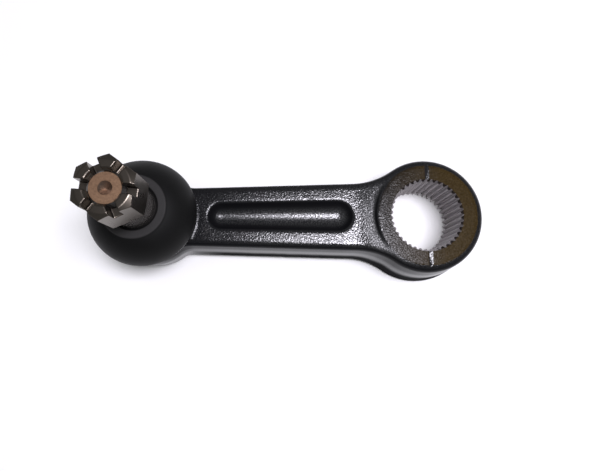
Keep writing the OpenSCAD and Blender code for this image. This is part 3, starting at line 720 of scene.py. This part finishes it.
class Layout:
    """Places in the arm that several pieces share, worked out from the sizes."""

    def __init__(self, scene):
        f, j = scene.arm_forging, scene.arm_joint
        self.face_z = f.eye_height / 2
        self.shank_z = f.shank_t / 2
        self.ball_x = -f.centre_distance
        self.ball_axis = (self.ball_x, 0, 0)
        self.cover_z = -self.face_z + f.lip_t
        self.ledge_z = self.cover_z + j.cover_t
        self.ball_z = self.ledge_z + j.spring_h + j.seat_floor + BALL_CLEAR + j.ball_d / 2
        self.crown_z = self.ball_z + j.seat_reach
        self.neck_z = self.crown_z + f.crown_t
        self.shoulder_z = self.neck_z - f.neck_h
        self.groove_z = self.shoulder_z + f.groove_lift
        self.boot_top_z = self.neck_z + j.boot_h
        self.collar_z = self.boot_top_z + j.collar_rise
        self.taper_z = self.collar_z + j.taper_h
        self.nut_z = self.taper_z + j.thread_spare
        self.stud_top_z = self.nut_z + j.nut_h - j.stud_drop
        self.ring_z = self.groove_z + f.groove_h / 2
        self.ring_r = f.neck_d / 2 + BOOT_CLEAR + j.bead_wall + j.ring_wire / 2 + FIT_CLEAR
        self.socket_r = j.ball_d / 2 + BALL_CLEAR + j.seat_wall + FIT_CLEAR
        self.ledge_r = self.socket_r + f.cover_ledge


class Outline:
    """Half outline of the forging, from the back of the housing to the front of the eye."""

    def __init__(self, f):
        self.f = f
        eye_r, housing_r, x = f.eye_d / 2, f.housing_d / 2, -f.centre_distance
        lean = math.atan((f.shank_w_eye - f.shank_w_ball) / 2 / f.centre_distance)
        along = np.array([math.cos(lean), math.sin(lean)])
        out = np.array([-math.sin(lean), math.cos(lean)])

        def centre(end_x, r, fillet, side):
            q = np.array([-end_x, f.shank_w_eye / 2]) + fillet * out
            s = q @ along
            reach = math.sqrt(s * s - q @ q + (r + fillet) ** 2)
            return np.array([end_x, 0]) + q + (side * reach - s) * along

        eye_c = centre(0, eye_r, f.eye_fillet, -1)
        housing_c = centre(x, housing_r, f.housing_fillet, 1)
        eye_a = math.degrees(math.atan2(eye_c[1], eye_c[0]))
        housing_a = math.degrees(math.atan2(housing_c[1], housing_c[0] - x))
        lean_a = math.degrees(lean) - 90
        parts = [
            (arc((x, 0), housing_r, 180, housing_a, 70), (x, 0), 1),
            (arc(housing_c, f.housing_fillet, housing_a - 180, lean_a, 26)[1:], housing_c, -1),
            (arc(eye_c, f.eye_fillet, lean_a, eye_a - 180, 40), eye_c, -1),
            (arc((0, 0), eye_r, eye_a, 0, 90)[1:], (0, 0), 1),
        ]
        self.points = np.concatenate([p for p, _, _ in parts])
        normals = np.concatenate([way * (p - np.array(c)) for p, c, way in parts])
        self.normals = normals / np.linalg.norm(normals, axis=1)[:, None]
        self.eye_from, self.eye_to = eye_c[0], eye_c[0] * eye_r / (eye_r + f.eye_fillet)
        self.housing_from = housing_c[0]
        self.housing_to = x + housing_r * math.cos(math.radians(housing_a))

    def ring(self, inset):
        """The whole outline, drawn in by inset at each point."""
        p = self.points - self.normals * np.broadcast_to(inset, len(self.points))[:, None]
        return np.concatenate([p, p[-2:0:-1] * (1, -1)])


def lofted_skin(out, lay):
    """The forged skin: its walls widen down to the parting line, and draw in again under the housing."""
    f = out.f
    x = out.points[:, 0]
    eye = eased(x, out.eye_from, out.eye_to)
    housing = eased(x, out.housing_from, out.housing_to)
    top = lay.shank_z + eye * (lay.face_z - lay.shank_z) + housing * (lay.shoulder_z - lay.shank_z)
    bottom = lay.shank_z + (eye + housing) * (lay.face_z - lay.shank_z)
    upper_edge = f.shank_edge + eye * (f.eye_edge - f.shank_edge) + housing * (f.housing_edge - f.shank_edge)
    # Below mid-height the wall leans out by all of the draft, while the housing's leans in by half of it
    housing_lean = -0.5
    low_lean = 1 + housing * (housing_lean - 1)
    steps = np.radians(np.linspace(0, 90, 11))
    rows = [(-1, a) for a in steps] + [(0, math.pi / 2)] + [(1, a) for a in steps[::-1]]
    points = []
    for side, a in rows:
        h, edge, lean = (bottom, f.parting_edge, -low_lean) if side < 0 else (top, upper_edge, side)
        inset = lean * (h - edge) * math.tan(f.draft) + edge * (1 - math.sin(a))
        z = side * (h - edge * (1 - math.cos(a)))
        ring = out.ring(inset)
        z = np.concatenate([z, z[-2:0:-1]])
        points += np.column_stack([ring, z]).tolist()
    n = len(ring)
    faces = band_faces(len(rows), n)
    for start in (0, (len(rows) - 1) * n):
        for i in range(len(x) - 1):
            loop = [i, i + 1, (n - i - 1) % n, (n - i) % n]
            faces.append([start + v for v in dict.fromkeys(loop)])
    return face_outwards(new_piece("skin", points, faces))


def pocket_tool(f, lay, side):
    """Round-ended trough that shapes the pocket; side is 1 for the top and -1 for the underside."""
    d = f.pocket_depth
    r0, r1 = ((w * w / 4 + d * d) / (2 * d) for w in (f.pocket_w_ball, f.pocket_w_eye))
    start = np.array([lay.ball_x + f.pocket_from_ball + f.pocket_w_ball / 2, lay.shank_z - d + r0])
    stop = np.array([-f.pocket_from_eye - f.pocket_w_eye / 2, lay.shank_z - d + r1])
    run = np.linalg.norm(stop - start)
    lean = math.degrees(math.asin((r1 - r0) / run))
    profile = np.concatenate([arc((0, 0), r0, -90, -lean, 24), arc((0, run), r1, -lean, 90, 24)])
    count = 96
    a = np.arange(count) * math.tau / count
    axis = (stop - start) / run
    across = np.array([-axis[1], axis[0]])
    points = []
    for r, s in np.maximum(profile, (0, -1)):
        middle = start + s * axis
        x = middle[0] + r * np.cos(a) * across[0]
        z = middle[1] + r * np.cos(a) * across[1]
        points += np.column_stack([x, r * np.sin(a), side * z]).tolist()
    return face_outwards(new_piece("pocket", points, band_faces(len(profile), count)))


def boss_profile(r, z, low, foot, edge):
    """Round boss with a flat top of radius r at height z and a foot that flares out by foot."""
    flare = arc((r + foot, z - edge), foot, 270, 180, 10)
    crest = arc((r - edge, z - edge), edge, 0, 90, 8)
    return [(0, low), (r + foot, low)] + flare.tolist() + crest.tolist()[1:] + [(0, z)]


def serration_tool(s, lay, finish):
    """The bore's hollow: one serration with its chamfers, repeated round the eye."""
    tip = s.tip_d / 2
    half = lay.face_z
    z = np.concatenate([
        [-half - OVERCUT, -half], np.linspace(-half, -half + s.gear_chamfer, 5)[1:],
        np.linspace(-half + s.gear_chamfer, half - s.chamfer, 14)[1:],
        np.linspace(half - s.chamfer, half, 12)[1:], [half + OVERCUT],
    ])
    slope = 1 / (2 * s.taper)
    root = tip + s.depth + (half - z) * slope
    middle = tip + s.depth + half * slope
    narrow = (s.mouth_w - s.root_w) / (middle - tip)
    mouth = (s.mouth_w - narrow * np.clip(z * slope, 0, None)) / 2
    nut_cone = np.clip(z - half + s.chamfer, 0, None)
    gear_cone = np.clip(-half + s.gear_chamfer - z, 0, None)
    cone = tip + np.maximum(nut_cone, gear_cone)
    step = math.pi / s.teeth
    points, faces, lanes = [], [], 9
    n = lanes + 1
    for k in range(len(z)):
        flank, floor = mouth[k] / tip, s.root_w / 2 / root[k]
        a = [-step, -flank, -floor, floor, flank, step]
        r = [tip, tip, root[k], root[k], tip, tip]
        for turn in np.interp(np.linspace(0, 5, n), range(6), a):
            radius = max(np.interp(turn, a, r), cone[k])
            points.append((radius * math.cos(turn), radius * math.sin(turn), z[k]))
    for k in range(len(z) - 1):
        faces += [(k * n + i, k * n + i + 1, (k + 1) * n + i + 1, (k + 1) * n + i) for i in range(lanes)]
    for k in (0, len(z) - 1):
        points.append((0, 0, z[k]))
        faces += [(len(points) - 1, k * n + i, k * n + i + 1) for i in range(lanes)]
    return ring_of(new_piece("serrations", points, faces), s.teeth, (0, 0, 0), finish)


class ARM_OT_forging(bpy.types.Operator):
    """Forge the arm, bore its eye and its ball housing"""

    bl_idname = "pitman_arm.forging"
    bl_label = "Forged arm"

    def execute(self, context):
        scene = context.scene
        f, s, c = scene.arm_forging, scene.arm_serrations, scene.arm_colours
        lay = Layout(scene)
        out = Outline(f)
        paint, steel, film = chassis_paint(c, f, lay), broached_steel(c), chamfer_film_and_shade(c)
        skin = lofted_skin(out, lay)
        for side in (1, -1):
            combine(skin, pocket_tool(f, lay, side), "DIFFERENCE")
        boss_low, boss_foot, boss_edge = 5 * MM, 1.2 * MM, 0.6 * MM
        boss = boss_profile(f.eye_flat_d / 2, lay.face_z, boss_low, boss_foot, boss_edge)
        crown, foot = self.housing_shells(f, lay, out)
        shells = [
            skin, foot, turned("eye top", boss, (0, 0, 0), None, 192),
            turned("eye bottom", [(r, -z) for r, z in boss], (0, 0, 0), None, 192), crown,
        ]
        arm = softened(joined("forged_arm", shells), f.grain, 8)
        coat(arm.data, paint)
        combine(arm, serration_tool(s, lay, steel), "DIFFERENCE")
        combine(arm, self.socket_tool(f, lay, steel), "DIFFERENCE")
        combine(arm, self.groove_tool(f, lay, steel), "DIFFERENCE")
        for side in (1, -1):
            combine(arm, self.mark_tool(f, s, lay, side, paint), "DIFFERENCE")
        clear_slivers(arm)
        self.film_and_shade_on_chamfer(arm, s, lay, film)
        smooth_shaded(arm, 35)
        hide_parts("pitman_arm")
        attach(arm, "arm")
        return {"FINISHED"}

    def housing_shells(self, f, lay, out):
        """The housing's round crown with its neck, and the foot that it stands on at the shank."""
        crown_r = f.housing_d / 2 - 0.9 * MM
        bottom_r, neck_r = f.housing_d / 2 - f.eye_edge, f.neck_d / 2
        profile = [
            (0, -lay.face_z), (bottom_r, -lay.face_z), (bottom_r, 0), (crown_r, 0), (crown_r, lay.shoulder_z),
            (neck_r, lay.shoulder_z), (neck_r, lay.neck_z), (0, lay.neck_z),
        ]
        flare, edge = 2.6 * MM, 0.1 * MM
        foot = boss_profile(crown_r, lay.shank_z + flare, 0, flare, edge)
        foot = turned("foot", foot, lay.ball_axis, None, 160)
        plan = out.ring((lay.shank_z - f.shank_edge) * math.tan(f.draft) + f.shank_edge)
        combine(foot, block("plan", plan, -OVERCUT, lay.face_z), "INTERSECT")
        return turned("crown", profile, lay.ball_axis, None, 160), foot

    def socket_tool(self, f, lay, finish):
        """Room for the seats, the spring and the cover, and the stud's mouth above them."""
        lip_r = lay.ledge_r - f.lip_reach
        low, high = -lay.face_z - OVERCUT, lay.neck_z + OVERCUT
        profile = [
            (0, low), (lip_r, low), (lip_r, lay.cover_z), (lay.ledge_r, lay.cover_z),
            (lay.ledge_r, lay.ledge_z), (lay.socket_r, lay.ledge_z), (lay.socket_r, lay.crown_z),
            (f.mouth_d / 2, lay.crown_z), (f.mouth_top_d / 2, lay.neck_z), (f.mouth_top_d / 2, high),
            (0, high),
        ]
        return turned("socket", profile, lay.ball_axis, finish, 160)

    def groove_tool(self, f, lay, finish):
        """Groove round the neck that the boot's bead snaps into."""
        inner, outer = f.neck_d / 2 - f.boot_groove, f.neck_d / 2 + OVERCUT
        z0, z1 = lay.groove_z, lay.groove_z + f.groove_h
        profile = [(inner, z0), (outer, z0), (outer, z1), (inner, z1)]
        return turned("groove", profile, lay.ball_axis, finish, 160)

    def mark_tool(self, f, s, lay, side, finish):
        """Index mark across the nut face, with its steep flank on the ball's side."""
        near, far = s.tip_d / 2 + s.depth / 3, f.eye_d / 2 + OVERCUT
        steep = 0.27 * s.mark_w
        # The section is drawn three times as large from its bottom up, so that it reaches out of the face
        over = 3
        bottom = lay.face_z - s.mark_depth
        top = bottom + over * s.mark_depth
        section = [(0, bottom), (over * (s.mark_w - steep), top), (-over * steep, top)]
        ends = ([(x, side * y, z) for x, z in section] for y in (near, far))
        return prism("mark", *ends, finish)

    def film_and_shade_on_chamfer(self, arm, s, lay, film):
        """Gives the serrations' chamfered ends away from the shank their dark film, partly painted shade, and
        the marks' steep flanks the same film as painted shade.
        """
        arm.data.materials.append(film)
        slot = len(arm.data.materials) - 1
        low = lay.face_z - s.chamfer
        chamfer_r, mark_r = s.tip_d / 2 + s.chamfer + 0.1 * MM, s.tip_d / 2 + 1.5 * MM
        # On the shank's side the chamfer keeps its bare steel, up to a line across the bore; past that line
        # the dark film is partly painted shade
        shade_edge_x, shade_edge_slant = -6 * MM, 0.6
        for p in arm.data.polygons:
            x, y, z = p.center
            r = math.hypot(x, y)
            in_film_and_shade = r < chamfer_r and x + shade_edge_slant * y > shade_edge_x
            on_chamfer = in_film_and_shade and 0.4 < p.normal.z < 0.95
            # The marks' steep flanks get the dark film as painted shade
            on_steep_flank = p.normal.x > 0.4 and abs(x) < s.mark_w / 2 and r > mark_r
            if z > low and (on_chamfer or on_steep_flank):
                p.material_index = slot


class ARM_OT_stud(bpy.types.Operator):
    """Turn the ball stud and cut its thread"""

    bl_idname = "pitman_arm.stud"
    bl_label = "Ball stud"

    def execute(self, context):
        scene = context.scene
        j, c = scene.arm_joint, scene.arm_colours
        lay = Layout(scene)
        rows, first, last = self.outline(j, lay)
        count = 128
        radius = np.repeat(rows[:, :1], count, 1)
        z = rows[first:last, 1]
        slack, run_out = 0.04 * MM, 1.2 * MM
        thread = j.thread_d / 2 - slack
        depth = thread_groove(z, count, j.thread_pitch) * eased(z, z[0], z[0] + run_out)[:, None]
        end_cone = j.thread_d / 2 - j.stud_chamfer + (lay.stud_top_z - z)
        radius[first:last] = np.minimum(thread - depth, np.minimum(thread, end_cone)[:, None])
        stud = grid_of_rows("stud", radius, rows[:, 1], lay.ball_x, turned_steel(c, j, lay))
        clear_slivers(combine(stud, self.pin_tool(j, lay), "DIFFERENCE"))
        stud.name = "threaded_ball_stud"
        smooth_shaded(stud, 35)
        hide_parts("ball_stud")
        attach(stud, "stud")
        return {"FINISHED"}

    def outline(self, j, lay):
        """Rows of (radius, height) from the ball to the centre hole, and where the thread's rows lie."""
        ball_r, neck, collar, thread = (d / 2 for d in (j.ball_d, j.stud_neck_d, j.collar_d, j.thread_d))
        top = lay.stud_top_z
        ball_end = math.degrees(math.acos(neck / ball_r))
        rows = [(x, lay.ball_z + z) for x, z in arc((0, 0), ball_r, -89.5, ball_end, 40)]
        flare = collar - neck
        foot = lay.collar_z - j.collar_h
        rows += [(neck, z) for z in np.linspace(rows[-1][1], foot - flare, 6)[1:]]
        rows += [(neck + t * flare, foot - (1 - t) * flare) for t in (0.25, 0.5, 0.75, 1)]
        rows += [(collar, z) for z in np.linspace(foot, lay.collar_z, 6)[1:]]
        slope = 1 / (2 * j.taper_ratio)
        rows += [(collar - t * slope * j.taper_h, lay.collar_z + t * j.taper_h)
                 for t in np.linspace(0, 1, 10)[1:]]
        first = len(rows)
        relief, step = 0.5 * MM, 0.1 * MM
        rows += [(thread, z) for z in np.arange(lay.taper_z + relief, top, step)] + [(thread, top)]
        last = len(rows)
        hole = j.centre_d / 2
        rows += [(x, top) for x in np.linspace(thread - j.stud_chamfer, hole, 5)[1:]]
        rows += [(hole * t, top - hole * (1 - t)) for t in (0.9, 0.7, 0.5, 0.3, 0.1, 0.02)]
        return np.array(rows), first, last

    def pin_tool(self, j, lay):
        """Drill for the split pin, in line with two of the nut's slots."""
        a = j.nut_turn + math.pi / 6
        z = lay.stud_top_z - j.pin_hole_drop
        along, across = np.array([[math.cos(a), math.sin(a)], [-math.sin(a), math.cos(a)]])
        ends = (
            [
                (*((lay.ball_x, 0) + reach * along + u * across), z + v)
                for u, v in arc((0, 0), j.pin_hole_d / 2, 0, 345, 24)
            ]
            for reach in (-j.thread_d, j.thread_d)
        )
        return prism("pin hole", *ends)


class ARM_OT_nut(bpy.types.Operator):
    """Make the slotted nut with its thread"""

    bl_idname = "pitman_arm.nut"
    bl_label = "Castle nut"

    def execute(self, context):
        scene = context.scene
        j, c = scene.arm_joint, scene.arm_colours
        lay = Layout(scene)
        flat = j.nut_af / 2
        corner = flat / math.cos(math.pi / 6)
        base, top = lay.nut_z, lay.nut_z + j.nut_h
        finish = blackened_steel(c)
        turns = [j.nut_turn + k * math.pi / 3 for k in range(6)]
        hexagon = [(lay.ball_x + corner * math.cos(a), corner * math.sin(a)) for a in turns]
        nut = block("slotted_nut", hexagon, base, top, finish)
        wide = corner + 0.2 * MM
        foot_in, foot_up, crown_in, crown_down = 0.3 * MM, 0.85 * MM, 0.9 * MM, 1.5 * MM
        rounded = [
            (0, base), (flat - foot_in, base), (wide, base + foot_up), (wide, top - crown_down),
            (flat - crown_in, top), (0, top),
        ]
        combine(nut, turned("nut blank", rounded, lay.ball_axis, finish), "INTERSECT")
        combine(nut, self.screw_tool(j, lay, finish), "DIFFERENCE")
        combine(nut, self.slot_tool(j, lay, finish), "DIFFERENCE")
        mesh_size = 0.2 * MM
        softened(nut, mesh_size, 4)
        self.level_flats(nut, j, lay)
        coat(nut.data, finish)
        smooth_shaded(nut, 60)
        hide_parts("castle_nut")
        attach(nut, "stud")
        return {"FINISHED"}

    def level_flats(self, nut, j, lay):
        """Presses the skin's ripples out of the six flats and leaves the rounded edges as they are."""
        held, free = 0.1 * MM, 0.2 * MM
        points = np.empty(3 * len(nut.data.vertices), dtype=np.float32)
        nut.data.vertices.foreach_get("co", points)
        points = points.reshape(-1, 3).astype(float)
        for k in range(6):
            a = j.nut_turn + (k + 0.5) * math.pi / 3
            out = np.array([math.cos(a), math.sin(a)])
            off = (points[:, :2] - (lay.ball_x, 0)) @ out - j.nut_af / 2
            hold = 1 - eased(np.abs(off), held, free)
            points[:, :2] -= (hold * off)[:, None] * out
        nut.data.vertices.foreach_set("co", points.astype(np.float32).ravel())
        nut.data.update()

    def screw_tool(self, j, lay, finish):
        """Screw that leaves the nut's thread, with a lead-in below and above."""
        base, top = lay.nut_z, lay.nut_z + j.nut_h
        step, low_lead, top_lead = 0.1 * MM, 1.1 * MM, 0.4 * MM
        z = np.arange(base - OVERCUT, top + OVERCUT, step)
        major = j.thread_d / 2 + FIT_CLEAR
        lead = major + np.maximum(base + low_lead - z, z - top + top_lead)
        radius = np.maximum(major - thread_groove(z, 128, j.thread_pitch), lead[:, None])
        return grid_of_rows("screw", radius, z, lay.ball_x, finish)

    def slot_tool(self, j, lay, finish):
        """The six slots between the prongs, one repeated round the nut."""
        w, inner, outer = j.slot_w / 2, 4 * MM, 0.6 * j.nut_af
        top = lay.nut_z + j.nut_h
        a = j.nut_turn + math.pi / 6
        plan = [
            (u * math.cos(a) - v * math.sin(a), u * math.sin(a) + v * math.cos(a))
            for u, v in ((inner, -w), (outer, -w), (outer, w), (inner, w))
        ]
        slot = block("slots", plan, top - j.slot_depth, top + OVERCUT)
        return ring_of(slot, 6, lay.ball_axis, finish)


class ARM_OT_boot(bpy.types.Operator):
    """Mould the dust boot"""

    bl_idname = "pitman_arm.boot"
    bl_label = "Dust boot"

    def execute(self, context):
        scene = context.scene
        f, j, c = scene.arm_forging, scene.arm_joint, scene.arm_colours
        lay = Layout(scene)
        wide, top = j.boot_d / 2, j.boot_top_d / 2
        inner = wide - j.boot_wall
        z0, z1 = lay.neck_z, lay.boot_top_z
        lip = z1 - j.lip_h
        lip_round, top_round = 0.3 * MM, 0.6 * MM
        bore = j.collar_d / 2 + BOOT_CLEAR
        recess = bore + j.lip_wall
        ring_mid = (recess + top) / 2
        ring_half = j.neck_ring / 2 + FIT_CLEAR
        r0, r1 = ring_mid - ring_half, ring_mid + ring_half
        # Handles of the dome, as shares of its height and of its run
        low_handle, high_handle = z0 + 0.44 * j.boot_h, z0 + 0.8 * j.boot_h
        dome = bezier([
            (wide, z0), (wide, low_handle), (top + 0.5 * (wide - top), high_handle),
            (top + 0.25 * MM, z1 - 0.55 * MM),
        ], 40)
        crest = arc((top - 0.45 * MM, z1 - top_round), top_round, 45, 90, 6)
        under = bezier([
            (r1 + lip_round, lip), (top + 0.5 * (inner - top), high_handle - j.boot_wall),
            (inner, low_handle), (inner, z0 + BOOT_CLEAR),
        ], 24)
        # Up the outside from the skirt, past the wire's seat and over the dome to the flat top
        skirt = lay.shoulder_z + j.skirt_clear
        neck = f.neck_d / 2 + BOOT_CLEAR
        wire_seat = arc((lay.ring_r, lay.ring_z), j.ring_wire / 2 + FIT_CLEAR, 285, 75, 16)
        profile = [(neck, skirt), (lay.ring_r + 0.1 * MM, skirt), (lay.ring_r + 0.25 * MM, skirt + 0.2 * MM)]
        profile += wire_seat.tolist()
        profile += [(lay.ring_r + 0.6 * MM, z0 - 0.8 * MM), (wide - 0.2 * MM, z0 - 0.45 * MM)]
        profile += dome.tolist() + crest.tolist()
        # Down the lip on the stud's collar and round the room for the neck ring
        bevel = 0.2 * MM
        ring_top = lip + j.neck_ring + FIT_CLEAR
        profile += [
            (recess + bevel, z1), (recess, z1 - bevel), (recess, z1 - j.boot_recess),
            (bore, z1 - j.boot_recess - lip_round), (bore, lip - 2 * lip_round), (r0 - lip_round, lip),
            (r0, lip), (r0, ring_top), (r1, ring_top), (r1, lip),
        ]
        # Down the inside to the bead in the neck's groove
        groove = neck - f.boot_groove
        bead_top, bead_low = lay.groove_z + f.groove_h - BOOT_CLEAR, lay.groove_z + BOOT_CLEAR
        profile += under.tolist()
        profile += [(neck, z0 + BOOT_CLEAR), (neck, bead_top), (groove, bead_top), (groove, bead_low)]
        profile += [(neck, bead_low)]
        boot = turned("rubber_boot", profile, lay.ball_axis, moulded_rubber(c, z1), 160)
        smooth_shaded(boot, 40)
        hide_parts("dust_boot")
        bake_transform(boot)
        return {"FINISHED"}


class ARM_OT_inner_pieces(bpy.types.Operator):
    """Make the clamp ring and the cover, and finish the ball's seats, spring and neck ring"""

    bl_idname = "pitman_arm.inner_pieces"
    bl_label = "Rings, seats, spring and cover"

    def execute(self, context):
        scene = context.scene
        j, c = scene.arm_joint, scene.arm_colours
        lay = Layout(scene)
        wire = drawn_wire(c)
        section = arc((lay.ring_r, lay.ring_z), j.ring_wire / 2, 0, 345, 24).tolist()
        ring = smooth_shaded(turned("wire_clamp_ring", section, lay.ball_axis, wire, 160))
        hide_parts("boot_clamp_ring")
        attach(ring, "boot")
        dish, drop = j.dish_d / 2, j.dish_depth
        rim = lay.ledge_r - FIT_CLEAR
        low, high = lay.cover_z, lay.cover_z + j.cover_t
        profile = [
            (0, low - drop), (dish - 1 * MM, low - drop), (dish, low - 0.9 * drop), (dish + 1.2 * MM, low),
            (dish + 1.5 * MM, low + FIT_CLEAR), (rim, low + FIT_CLEAR), (rim, high), (dish + 1 * MM, high),
            (dish - 0.5 * MM, high - drop), (0, high - drop),
        ]
        cover = smooth_shaded(turned("pressed_cover", profile, lay.ball_axis, zinc_plate(c)))
        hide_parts("end_cover")
        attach(cover, "arm")
        acetal = moulded_acetal(c)
        for node, finish in (
            ("boot_neck_ring", wire), ("preload_spring", wire),
            ("upper_ball_seat", acetal), ("lower_ball_seat", acetal),
        ):
            coat(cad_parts[node].data, finish)
        return {"FINISHED"}


class ARM_OT_studio(bpy.types.Operator):
    """Set up the floor, the light and the camera"""

    bl_idname = "pitman_arm.studio"
    bl_label = "Studio"

    def execute(self, context):
        scene = context.scene
        s, c = scene.arm_studio, scene.arm_colours
        floor_z = -scene.arm_forging.eye_height / 2
        half = 4.0
        corners = [(x, y, floor_z) for x, y in ((-half, -half), (half, -half), (half, half), (-half, half))]
        new_piece("floor", corners, [(0, 1, 2, 3)], floor_paint(c))
        world = bpy.data.worlds.new("Room")
        scene.world = world
        world.use_nodes = True
        room = world.node_tree.nodes["Background"]
        room.inputs["Color"].default_value = (0.95, 0.97, 1, 1)
        room.inputs["Strength"].default_value = s.room
        self.lamp(
            "key", power=s.key, tint=(0.93, 0.91, 1), size=(0.42, 0.22), place=(0.14, 0.015, 0.9),
            target=(-0.05, 0, 0), mirrored=True,
        )
        self.lamp(
            "fill", power=s.fill, tint=(1, 1, 1), size=(2.4, 2.4), place=(-0.07, 0, 2.2),
            target=(-0.07, 0, 0), mirrored=False,
        )
        lens = bpy.data.cameras.new("camera")
        lens.sensor_width = 36
        lens.lens = s.lens
        lens.clip_start = 0.01
        camera = bpy.data.objects.new("camera", lens)
        camera.location = s.camera_place
        camera.rotation_euler = s.camera_turn
        scene.collection.objects.link(camera)
        scene.camera = camera
        scene.view_settings.view_transform = "Standard"
        scene.view_settings.look = "None"
        return {"FINISHED"}

    def lamp(self, name, power, tint, size, place, target, mirrored):
        """A softbox at place that faces target, size wide and deep; one that isn't mirrored only lights."""
        light = bpy.data.lights.new(name, "AREA")
        light.energy = power
        light.color = tint
        light.shape = "RECTANGLE"
        light.size, light.size_y = size
        box = bpy.data.objects.new(name, light)
        box.location = place
        x, y, z = (a - b for a, b in zip(place, target))
        box.rotation_euler = (-math.atan2(y, z), math.atan2(x, math.hypot(y, z)), 0)
        box.visible_glossy = mirrored
        bpy.context.scene.collection.objects.link(box)


class ARM_PT_panel(bpy.types.Panel):
    """Lists the arm's pieces and its studio"""

    bl_label = "Pitman arm"
    bl_idname = "ARM_PT_panel"
    bl_space_type = "VIEW_3D"
    bl_region_type = "UI"
    bl_category = "Pitman arm"

    def draw(self, context):
        for operator in OPERATORS:
            self.layout.operator(operator.bl_idname)
        for name in GROUPS:
            box = self.layout.box()
            group = getattr(context.scene, name)
            for key in group.__annotations__:
                box.prop(group, key)


GROUPS = {
    "arm_forging": ForgingSizes,
    "arm_serrations": SerrationSizes,
    "arm_joint": JointSizes,
    "arm_colours": ArmColours,
    "arm_studio": StudioSettings,
}
OPERATORS = (ARM_OT_forging, ARM_OT_stud, ARM_OT_nut, ARM_OT_boot, ARM_OT_inner_pieces, ARM_OT_studio)
CLASSES = tuple(GROUPS.values()) + OPERATORS + (ARM_PT_panel,)


def register():
    for cls in CLASSES:
        bpy.utils.register_class(cls)
    for name, cls in GROUPS.items():
        setattr(bpy.types.Scene, name, bpy.props.PointerProperty(type=cls))


def unregister():
    for name in GROUPS:
        delattr(bpy.types.Scene, name)
    for cls in reversed(CLASSES):
        bpy.utils.unregister_class(cls)


def main():
    register()
    bpy.ops.pitman_arm.forging()
    bpy.ops.pitman_arm.stud()
    bpy.ops.pitman_arm.nut()
    bpy.ops.pitman_arm.boot()
    bpy.ops.pitman_arm.inner_pieces()
    bpy.ops.pitman_arm.studio()


if __name__ == "__main__":
    main()
